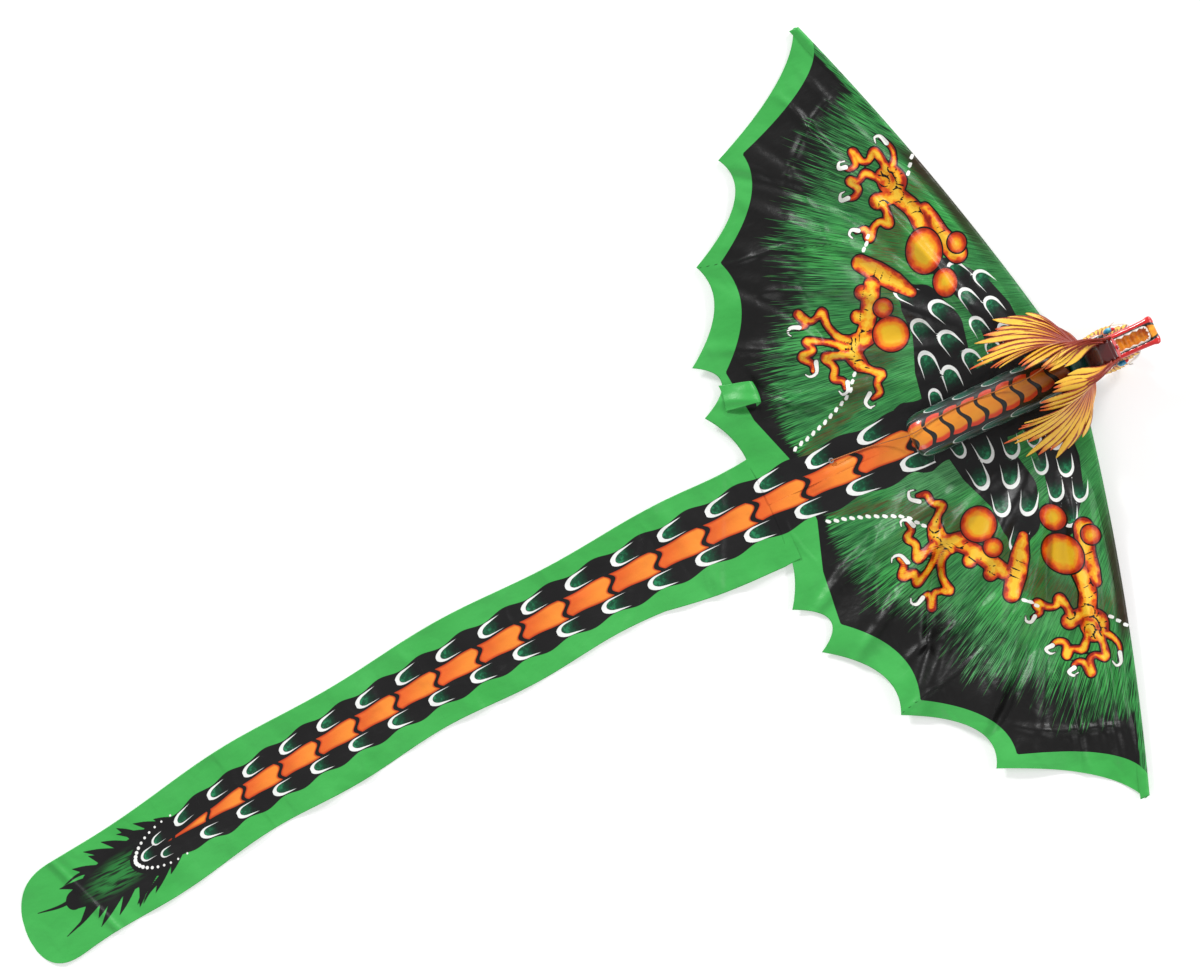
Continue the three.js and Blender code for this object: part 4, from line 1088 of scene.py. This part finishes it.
UPPER_JAW = [(85.4, 7.5, 5.5, 15.4, 0.2, 6), (84.6, 4.4, 9.6, 17, 0.3, 7), (82, 2.2, 14.6, 17.4, 0.5, 8.6),
             (78, 1.6, 18.8, 16.8, 1.0, 9.4), (75, 1.7, 21, 16.2, 4.4, 9.6), (60, 4, 22.6, 15.5, 6, 9.6),
             (47, 7, 19.8, 15.5, 6, 9.4), (28, 9, 15.4, 15.5, 5.5, 9.4), (14, 8, 12.6, 15.5, 4.5, 9.2),
             (4, 4.6, 10.4, 15.4, 2, 9), (-1, 3.6, 8, 14.5, 0.6, 8)]
LOWER_JAW = [(-2, 4, 3.6, 13.6, 0.4, 8), (-1, -2, 4, 14.4, 0.8, 8.4), (-0.6, -11, 4.4, 14.5, 1.2, 8.6),
             (1.4, -21, 5.4, 14.5, 2, 8.6), (6, -32, 7, 14.5, 2.8, 8.6), (11.4, -42, 9, 14.5, 3.4, 8.6),
             (18, -48.6, 12, 14.5, 3.6, 8.6), (25, -51.8, 13, 14.4, 2.6, 8.2), (30, -54, 12, 13.6, 0.8, 4),
             (33, -57, 7.5, 11, 0.3, 1)]
red_gloss = lip_paint()
# Each jaw's share of painted shade on its back: full on the lower jaw's underside, a quarter on the upper
# jaw.
for node, stations, shade_strength in (("upper_jaw", UPPER_JAW, 0.25), ("lower_jaw", LOWER_JAW, 1.0)):
    forwards, back, y, edge_way = swept_jaw(stations, JAW_ROWS)
    jaw = piece(f"red_{node}", [on_head(forwards, back, y)], red_gloss, "red_paint",
                {"edge": [edge_way], "jaw_shade": [np.full(y.shape, shade_strength)]}, wrap=True, caps=True)
    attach(jaw, "airframe")
    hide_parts(node)

# ---- Roof of the mouth -----------------------------------------------
# A thin carved pad, glued into the upper jaw's hollow. Low ridges cross it.
def palate_paint():
    """Orange, streaked across."""
    f = Finish("palate_enamel")
    streaks = f.noise(f.spot(), 140.0, 3.0, (0.4, 1, 1))
    return enamel(f, f.mix(streaks.rise(0.3, 0.7), srgb(206, 98, 20), srgb(236, 148, 34)))


PALATE_ROWS = 150
PALATE_COLUMNS = 36
ROOF = [(74.5, 5.2, 0.6, 6), (72.5, 6.0, 1.4, 8), (60, 9.6, 2, 8.6), (45, 12.4, 2, 8.4), (28, 14.2, 2, 8.4),
        (16, 12.6, 1.6, 8), (13, 11.6, 0.6, 5)]
forwards, middle, thick, half = (v[:, None] for v in smooth_path(ROOF, PALATE_ROWS).T)
turn = around_once(PALATE_COLUMNS)
c, s = np.cos(turn), np.sin(turn)
ridges = 0.45 * np.sin(forwards * 1.25) * (s > 0) * s
back = middle - np.sign(s) * np.abs(s) ** 0.6 * thick * 0.7 - ridges
y = np.sign(c) * np.abs(c) ** 0.5 * half
palate = piece("palate_pad", [on_head(forwards + 0 * turn, back, y)], palate_paint(), "orange_paint",
               wrap=True, caps=True)
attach(palate, "airframe")
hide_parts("palate")

# ---- Teeth -----------------------------------------------------------
# Strips of white sheet plastic, cut into pointed teeth on one edge and glued by the other inside the lips.
def white_plastic():
    """Glossy white sheet, faintly cloudy."""
    f = Finish("tooth_plastic")
    cloudy = f.noise(f.spot(), 80.0, 2.0)
    f.bump(cloudy, 0.0003)
    white = f.mix(cloudy, srgb(236, 232, 222), srgb(250, 249, 245))
    return f.set(Base_Color=white, Roughness=0.22 + 0.1 * cloudy, Coat_Weight=0.3)


def tooth_strip(base, point_way, teeth, height, lean):
    """A saw-toothed strip. Its edge height is a triangle wave, raised to a power so that gaps are narrow.

    It leans inwards, square to its own line as seen from in front of the mouth.
    """
    line = smooth_path(base, teeth * 18 + 1)
    share = np.linspace(0, 1, len(line))[:, None]
    saw = 1 - np.abs(2 * ((share * teeth) % 1) - 1)
    tall = (1.6 + height * saw**0.85 * (1 - 0.3 * share)) * np.linspace(0, 1, 9)[None]
    run = np.gradient(line, axis=0)
    across = run[:, 2:] / np.hypot(run[:, :1], run[:, 2:])
    inward = -np.sign(line[:, 2:]) * np.sqrt(np.clip(1 - across**2, 0, 1))
    forwards = line[:, :1] + point_way[0] * tall - np.abs(across) * lean * tall
    back = line[:, 1:2] + point_way[1] * tall
    return on_head(forwards, back, line[:, 2:] + inward * lean * tall)


UPPER_GUM = [(10, 10.4, 9.2), (28, 12.4, 9.3), (47, 10.6, 9.3), (66, 5.6, 9.3), (73, 4.4, 8.6),
             (75.4, 4.0, 5), (75.8, 4.0, 0.4)]
LOWER_GUM = [(1.5, -16, 7.8), (4, -25, 8), (10, -37, 8), (17, -46, 8), (26, -50, 7.6), (29.6, -52.4, 4.6),
             (30.4, -53, 0.4)]
tooth_plastic = white_plastic()
for side, label in SIDES:
    mirror = np.array([1, 1, side])
    upper = tooth_strip(np.array(UPPER_GUM) * mirror, (0, -1), 9, 7.0, 0.34)
    lower = tooth_strip(np.array(LOWER_GUM) * mirror, (0.86, 0.5), 8, 6.6, 0.26)
    for where, strip in (("upper", upper), ("lower", lower)):
        teeth = piece(f"{where}_tooth_strip_{label}", [strip], tooth_plastic, "white_plastic",
                      thickness=0.0011)
        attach(teeth, "airframe")
        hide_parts(f"{where}_teeth_{label}")

# ---- Tongue ----------------------------------------------------------
# A strip of thin pink leather that rises from the throat and curls out along the lower jaw. A darker line
# is brushed down its middle.
def tongue_paint():
    """Pink leather with a darker line along the middle."""
    f = Finish("tongue_leather")
    soft = f.noise(f.spot(), 150.0, 2.0)
    pink = f.mix(soft, srgb(222, 78, 112), srgb(236, 108, 138))
    pink = f.mix(f.field("middle").rise(0.75, 0.35) * 0.55, srgb(168, 34, 60), pink)
    f.bump(soft, 0.0004)
    return f.set(Base_Color=pink, Roughness=0.35, Coat_Weight=0.35)


TONGUE_ROWS = 90
TONGUE_COLUMNS = 28
TONGUE = [(2.5, -12), (9, -18), (13, -32), (12, -40), (17, -49.4), (27, -53), (33.5, -58.5)]
line = smooth_path(TONGUE, TONGUE_ROWS)
along = np.gradient(line, axis=0)
along /= np.linalg.norm(along, axis=1, keepdims=True)
turn = around_once(TONGUE_COLUMNS)
share = np.linspace(0, 1, TONGUE_ROWS)[:, None]
wide = 3.4 * np.clip(np.minimum(share * 12, (1 - share) * 9) + 0.25, 0, 1) ** 0.5
thick = 0.85 * np.sign(np.sin(turn)) * np.abs(np.sin(turn)) ** 0.7
off_line = thick - 0.35 * np.cos(turn) ** 2
grid = on_head(line[:, :1] + along[:, 1:2] * off_line, line[:, 1:2] - along[:, :1] * off_line,
               wide * np.cos(turn))
tongue = piece("leather_tongue", [grid], tongue_paint(), "pink_paint",
               {"middle": [np.abs(np.cos(turn)) + 0 * share]}, wrap=True, caps=True)
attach(tongue, "airframe")
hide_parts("tongue")

# ---- Nose ------------------------------------------------------------
# A low carved ridge with two round nostrils on the top of the snout, orange over the red.
def round_tube(path, radius, sides=16):
    """Rings square to a path of points in metres. Each ring's frame leans on the world's side direction."""
    along = np.gradient(path, axis=0)
    along /= np.linalg.norm(along, axis=1, keepdims=True)
    helper = np.where(np.abs(along[:, 1:2]) > 0.85, np.array([[1.0, 0, 0]]), SIDE[None])
    first = np.cross(helper, along)
    first /= np.linalg.norm(first, axis=1, keepdims=True)
    second = np.cross(along, first)
    angle = np.linspace(0, 2 * np.pi, sides, endpoint=False)
    radius = np.broadcast_to(radius, len(path))[:, None, None]
    turn = np.cos(angle)[None, :, None] * first[:, None] + np.sin(angle)[None, :, None] * second[:, None]
    return path[:, None] + radius * turn


def nose_paint():
    """Orange dabbed over red."""
    f = Finish("nose_enamel")
    patchy = f.noise(f.spot(), 95.0, 2.0)
    return enamel(f, f.mix(patchy.rise(0.38, 0.6), srgb(206, 30, 28), srgb(240, 138, 40)), 0.9)


def swelling(most, start, steps):
    """Radii in metres along a tube: a half sine to the power 0.6, from a start angle to its mirror."""
    return most / 1000 * np.sin(np.linspace(start, np.pi - start, steps)) ** 0.6


NOSE_STEPS = 40
END_TAPER = 0.06
bridge = oval_grid([(57, 3, 27, 25), (60, 7, 29.4, 24), (66, 9, 30.6, 22), (73, 9.6, 30, 20),
                    (79, 8.6, 26, 18), (82.5, 4, 22, 18)], 60, NOSE_STEPS, 0.9)
parts = [on_head(bridge[0], bridge[2], bridge[1])]
for side in (1, -1):
    bulb = smooth_path([(63, 27, side * 6), (68, 29.4, side * 7), (74, 29, side * 7),
                        (78.5, 25.4, side * 6)], NOSE_STEPS)
    parts.append(round_tube(on_head(*bulb.T), swelling(3.6, END_TAPER, NOSE_STEPS), NOSE_STEPS))
nose = piece("snout_ridge", parts, nose_paint(), "red_paint", wrap=True, caps=True)
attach(nose, "airframe")
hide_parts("nose")

# ---- Eyes, eye rims and brows ----------------------------------------
# Each eye is a glossy wooden dome with painted rings in a thick black rim. A blue brow curls in front of it.
EYE = (15.0, 33.0)
EYE_RADIUS = 8.2
CHEEK = 17.3
EYE_ROWS = 30
EYE_COLUMNS = 48
RIM_STEPS = 56
RIM_COLUMNS = 20
BROW_STEPS = 50
BROW_COLUMNS = 28


def eye_paint():
    """From the middle: a black pupil, a yellow ring, a red one and a white one."""
    f = Finish("eye_gloss")
    wobble = f.noise(f.spot(), 200.0, 2.0)
    reach = f.field("ring") + (wobble - 0.5) * 0.7
    rings = f.mix(reach.rise(3.8, 4.0), srgb(12, 11, 12), srgb(246, 206, 50))
    rings = f.mix(reach.rise(4.7, 4.9), rings, srgb(206, 34, 24))
    rings = f.mix(reach.rise(6.1, 6.4), rings, srgb(240, 238, 230))
    return f.set(Base_Color=rings, Roughness=0.12 + 0.08 * wobble, Coat_Weight=0.9)


def rim_paint():
    """Thick blue-black."""
    f = Finish("rim_enamel")
    return enamel(f, f.mix(f.noise(f.spot(), 120.0, 2.0), srgb(12, 12, 14), srgb(30, 34, 36)), 0.8)


def brow_paint():
    """Mottled blue with a red tip."""
    f = Finish("brow_enamel")
    spots = f.noise(f.spot(), 130.0, 2.0)
    blue = f.mix(spots.rise(0.4, 0.7), srgb(16, 140, 190), srgb(70, 190, 215))
    return enamel(f, f.mix(f.field("along").rise(0.80, 0.86), blue, srgb(214, 40, 40)), 0.9)


eye_gloss, rim_black, brow_blue = eye_paint(), rim_paint(), brow_paint()
for side, label in SIDES:
    lift = np.linspace(0.006, 0.5, EYE_ROWS)[:, None] * np.pi
    turn = around_once(EYE_COLUMNS)
    reach = EYE_RADIUS * np.sin(lift) + 0 * turn
    dome = on_head(EYE[0] + reach * np.cos(turn), EYE[1] + reach * np.sin(turn),
                   side * (CHEEK - 0.4 + 6.3 * np.cos(lift) ** 0.9 + 0 * turn))
    eye = piece(f"painted_eye_{label}", [dome], eye_gloss, "eye_paint", {"ring": [reach]}, wrap=True,
                caps=True)
    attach(eye, "airframe")
    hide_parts(f"eye_{label}")
    tube = around_once(RIM_COLUMNS)
    way = around_once(RIM_STEPS).T
    far = 10.4 + 1.8 * np.cos(tube) + 0.3 * np.sin(way * 3)
    ring_grid = on_head(EYE[0] + far * np.cos(way), EYE[1] + far * np.sin(way),
                        side * (CHEEK + 0.9 + 1.8 * np.sin(tube) + 0 * way))
    rim = piece(f"black_eye_rim_{label}", [ring_grid.transpose(1, 0, 2)], rim_black, "vinyl", wrap=True)
    # The ring's last row of faces, which closes its section.
    welded = bmesh.new()
    welded.from_mesh(rim.data)
    bmesh.ops.bridge_loops(welded, edges=[e for e in welded.edges if e.is_boundary])
    bmesh.ops.recalc_face_normals(welded, faces=welded.faces)
    welded.to_mesh(rim.data)
    welded.free()
    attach(rim, "airframe")
    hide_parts(f"eye_rim_{label}")
    curl = smooth_path([(29.2, 41, side * 20), (31.5, 36, side * 20.6), (35, 31.8, side * 20.8),
                        (42.2, 29, side * 20)], BROW_STEPS)
    tube = round_tube(on_head(*curl.T), swelling(3.3, 0.12, BROW_STEPS), BROW_COLUMNS)
    share = np.repeat(np.linspace(0, 1, BROW_STEPS)[:, None], BROW_COLUMNS, 1)
    brow = piece(f"blue_brow_{label}", [tube], brow_blue, "teal_paint", {"along": [share]}, wrap=True,
                 caps=True)
    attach(brow, "airframe")
    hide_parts(f"brow_{label}")

# ---- Mane ------------------------------------------------------------
# Thin leather, cut into long pointed leaves and pleated, yellow with red-brown along the sides of every
# leaf, partly painted edge lines and partly painted shade, heavier on one side. It is glued along the lower
# jaw and the cheek, and fans out behind the head on both sides.
MANE_FOOT = [(31, -60, 13), (22, -66, 13.6), (11, -64, 15.2), (4, -50, 15.8), (0, -38, 16), (-3, -26, 16.6),
             (-6, -15, 17.2), (-7, -4, 18), (-7, 4, 18.4), (-3, 14, 18.8)]
MANE_EDGE = [(-34, -71, 5), (-48, -72, 11), (-62, -70, 18), (-75, -63, 27), (-92, -54, 34), (-117, -35, 43),
             (-106, -14, 60), (-92, 0, 76), (-65, 7, 81), (-40, 12, 72), (-27, 19, 52), (-20, 24, 40)]
LEAVES = 24
LEAF_ROWS = 30
LEAF_COLUMNS = 9
BELLY = 0.62
LEATHER = 0.0010


def leather_paint():
    """Yellow leather, red-brown at its foot and along each leaf's sides as painted lines and painted shade,
    with some tips dipped in red.
    """
    f = Finish("painted_leather")
    speckle = f.noise(f.spot(), 420.0, 3.0)
    soft = f.noise(f.spot(), 60.0, 2.0)
    along = f.field("along")
    # The yellow middle is set off to one side of each leaf, so the red-brown is wider on the other side:
    # painted shade over painted edge lines.
    middle = (along * 0.9 + 0.30) - (f.field("across") + 0.18).size()
    brown = f.mix(speckle, srgb(112, 30, 20), srgb(164, 60, 34))
    warm = f.mix(along.rise(0.15, 0.62), srgb(206, 116, 40), srgb(240, 190, 62))
    warm = f.mix(soft.rise(0.45, 0.7) * 0.3, warm, srgb(222, 140, 40))
    hide = f.mix((middle + (speckle - 0.5) * 0.35).rise(0.05, 0.42), brown, warm)
    tipped = along.rise(0.80, 0.97) * f.field("tint").rise(0.35, 0.6)
    hide = f.mix(tipped, hide, srgb(212, 84, 36))
    hide = f.mix(along.rise(0.30, 0.05) * 0.8, hide, srgb(140, 42, 26))
    f.bump(speckle, 0.0003, 0.5)
    return f.set(Base_Color=hide, Roughness=0.42 + 0.15 * soft, Coat_Weight=0.15, Coat_Roughness=0.3)


def leaf(root, tip, lean, root_half, belly_half, bow, sway):
    """A pointed leaf from root to tip. It widens to its belly at 0.62 of the way, then closes in a curve.

    Its width lies along lean, which may turn from root to tip. It bows by a parabola, sways by one sine,
    and has a ridge along its middle.
    """
    root, tip, bow = (np.asarray(v, float) for v in (root, tip, bow))
    s = np.linspace(0, 1, LEAF_ROWS)[:, None, None]
    c = np.linspace(-1, 1, LEAF_COLUMNS)[None, :, None]
    run = tip - root
    lean = np.asarray(lean, float).reshape(-1, 1, 3)
    lean = lean - run * (lean @ run)[..., None] / np.dot(run, run)
    lean = lean / np.linalg.norm(lean, axis=-1, keepdims=True)
    face = np.cross(run, lean)
    face = face / np.linalg.norm(face, axis=-1, keepdims=True)
    half = root_half + (belly_half - root_half) * np.clip(s / BELLY, 0, 1) ** 1.3
    half = half * (1 - np.clip((s - BELLY) / (1 - BELLY), 0, 1) ** 1.9) + 0.15
    centre = root + run * s + bow * 4 * s * (1 - s) + lean * sway * np.sin(2 * np.pi * s) * s
    ridge = 0.9 * (1 - np.abs(c)) * (1 - 0.6 * s)
    grid = centre + lean * half * c + face * ridge
    return grid, np.broadcast_to(s[..., 0], grid.shape[:2]), np.broadcast_to(c[..., 0], grid.shape[:2])


painted_leather = leather_paint()


def leaf_piece(name, leaves, node):
    """Leaves, each with its own tint, joined as one leather piece on the head."""
    rng = np.random.default_rng(len(leaves))
    grids = [on_head(g[..., 0], g[..., 1], g[..., 2]) for g, _, _ in leaves]
    fields = {"along": [s for _, s, _ in leaves], "across": [c for _, _, c in leaves],
              "tint": [np.full(s.shape, rng.random()) for _, s, _ in leaves]}
    made = piece(name, grids, painted_leather, "mane_leather", fields, thickness=LEATHER)
    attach(made, "airframe")
    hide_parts(node)


for side, label in SIDES:
    mirror = np.array([1, 1, side])
    feet = smooth_path(MANE_FOOT, LEAVES) * mirror
    tips = smooth_path(MANE_EDGE, LEAVES) * mirror
    foot_way, edge_way = np.gradient(feet, axis=0), np.gradient(tips, axis=0)
    share = np.linspace(0, 1, LEAF_ROWS)[:, None]
    leaves = []
    for i in range(LEAVES):
        stretch = 1.06 + 0.07 * ((i * 5) % 3 - 1)
        tip = feet[i] + (tips[i] - feet[i]) * stretch
        belly = 0.43 * np.linalg.norm(edge_way[i]) + 0.8
        lean = foot_way[i] * (1 - share) + edge_way[i] * share
        bow = side * part_way(5, 12, i / 6)
        leaves.append(leaf(feet[i], tip, lean, 2.9, belly, (0, 0, bow), 3.0))
    leaf_piece(f"leather_mane_{label}", leaves, f"mane_{label}")

# ---- Ears, horns and cheek leaves ------------------------------------
# A pleated fan of the same leather stands behind each eye, and the kite's head rests on its edge. A jagged
# yellow horn stands in front of it, and a small leaf lies under each eye.
EAR_FOOT = [(2, 46.0, 16), (12, 46.8, 16.4), (22, 45.6, 16.4), (29, 43.0, 16)]
EAR_EDGE = [(4, 61, 23), (16, 69.2, 25.6), (30, 71.6, 26.6), (41, 66, 25)]
PLEATS = 8
HORN_FOOT = [(33, 40, 12), (40, 36, 12), (48, 29, 11)]
HORN_EDGE = [(38, 60, 18), (49, 62, 20), (58, 47, 18)]
HORN_POINTS = 5
CHEEK_LEAF = [(11, 17.5, 20.6), (-15, 31, 21)]
for side, label in SIDES:
    mirror = np.array([1, 1, side])
    feet = smooth_path(EAR_FOOT, PLEATS) * mirror
    tips = smooth_path(EAR_EDGE, PLEATS) * mirror
    edge_way = np.gradient(tips, axis=0)
    ear = [leaf(feet[i], tips[i], edge_way[i], 2.0, 3.1, (0, 0, side * 1.5), 0.8) for i in range(PLEATS)]
    leaf_piece(f"leather_ear_{label}", ear, f"crest_{label}")
    root, tip = np.array(CHEEK_LEAF) * mirror
    cheek_leaf = leaf(root, tip, (0.3, 1, 0), 2.6, 4.2, (0, 1.5, side * 2), 1.2)
    leaf_piece(f"cheek_leaf_leather_{label}", [cheek_leaf], f"cheek_leaf_{label}")
    feet = smooth_path(np.array(HORN_FOOT) * mirror, HORN_POINTS)
    tips = smooth_path(np.array(HORN_EDGE) * mirror, HORN_POINTS)
    horn = [leaf(feet[i], tips[i] * (1 - 0.05 * (i % 2)), (1, 0.3, 0), 2.2, 3.2, (0, 0, side * 2), 1.0)
            for i in range(HORN_POINTS)]
    leaf_piece(f"yellow_horn_{label}", horn, f"crest_{label}")

# ---- Whiskers --------------------------------------------------------
# A narrow strip of white sheet plastic on each side of the nose, curled back on itself.
WHISKER = [(61, 30, 10.4), (60, 40, 14), (58, 51, 18), (52, 59, 22), (44, 58, 24), (41.5, 51, 26),
           (46, 46.5, 27)]
WHISKER_ROWS = 110
for side, label in SIDES:
    curl = smooth_path(np.array(WHISKER) * (1, 1, side), WHISKER_ROWS)
    wide = np.linspace(1, -1, 5)[None, :, None] * np.array([0.5, 0.25, side * 1.0])
    taper = np.linspace(1.7, 0.7, WHISKER_ROWS)[:, None, None]
    strip = curl[:, None] + wide * taper
    whisker = piece(f"white_whisker_{label}", [on_head(strip[..., 0], strip[..., 1], strip[..., 2])],
                    tooth_plastic, "white_plastic", thickness=0.0005)
    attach(whisker, "airframe")
    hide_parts(f"whisker_{label}")


# ---- Bamboo, vinyl, wood and zinc ------------------------------------
# The spine, spars and neck dowel are scraped bamboo. Sockets, ferrules and tip caps are black vinyl tube,
# and the shoulder block is dark wood. Screws, eyelet and jaw eye are bright zinc.
def bamboo(name, way):
    """Fine fibres along the rod's direction, with a darker joint every 140 mm."""
    finish = Finish(name)
    across = (-way[1], way[0], 0.0)
    spot = finish.spot()
    lengthwise, sideways = (finish.node("VectorMath", {"operation": "DOT_PRODUCT"}, {0: spot, 1: v}, "Value")
                            for v in (way, across))
    height = finish.node("SeparateXYZ", {}, {0: spot}, 2)
    fibre = finish.noise(finish.plane(sideways * 900, height * 900, lengthwise * 12), 1.0, 3.0)
    stain = finish.noise(finish.plane(sideways * 90, height * 90, lengthwise * 25), 1.0, 2.0)
    joint = lengthwise.math("FRACT", lengthwise * 7.1).rise(0.045, 0.0)
    colour = finish.mix(fibre, srgb(190, 150, 92), srgb(224, 190, 130))
    colour = finish.mix(stain.rise(0.5, 0.75) * 0.4, colour, srgb(150, 108, 58))
    colour = finish.mix(joint * 0.7, colour, srgb(110, 76, 40))
    finish.bump(fibre, 0.0002, 0.6)
    return finish.set(Base_Color=colour, Roughness=0.5 + 0.12 * fibre)


vinyl = Finish("black_vinyl")
scuffs = vinyl.noise(vinyl.spot(), 300.0, 3.0)
vinyl.bump(scuffs, 0.0002, 0.5)
vinyl.set(Base_Color=vinyl.mix(scuffs, srgb(18, 18, 19), srgb(40, 40, 42)), Roughness=0.34 + 0.2 * scuffs)

dark_wood = Finish("dark_wood")
rings = dark_wood.noise(dark_wood.spot(), 240.0, 3.0, (0.2, 1, 1))
dark_wood.bump(rings, 0.0003, 0.5)
dark_wood.set(Base_Color=dark_wood.mix(rings, srgb(84, 54, 30), srgb(128, 86, 50)),
              Roughness=0.5 + 0.1 * rings)

zinc = Finish("bright_zinc")
spangle = zinc.noise(zinc.spot(), 500.0, 2.0)
zinc.bump(spangle, 0.0001, 0.4)
zinc.set(Base_Color=zinc.mix(spangle, srgb(176, 178, 182), srgb(214, 215, 218)), Metallic=1.0,
         Roughness=0.22 + 0.15 * spangle)

for finish, names in [
    (bamboo("bamboo_spine", (1.0, 0.0, 0.0)), ["spine_rod", "neck_dowel"]),
    *[(bamboo(f"bamboo_spar_{label}", (-0.253, side * 0.967, 0.0)), [f"wing_spar_{label}"])
      for side, label in SIDES],
    (vinyl.material, [f"{part}_{label}" for part in ("shoulder_socket", "spar_ferrule", "spar_cap")
                      for _, label in SIDES]),
    (dark_wood.material, ["shoulder_block"]),
    (zinc.material, ["body_screw_front", "body_screw_rear", "jaw_eye", "sail_eyelet"]),
]:
    for name in names:
        node = frame["nodes"][name]
        node.data.materials.clear()
        node.data.materials.append(finish)
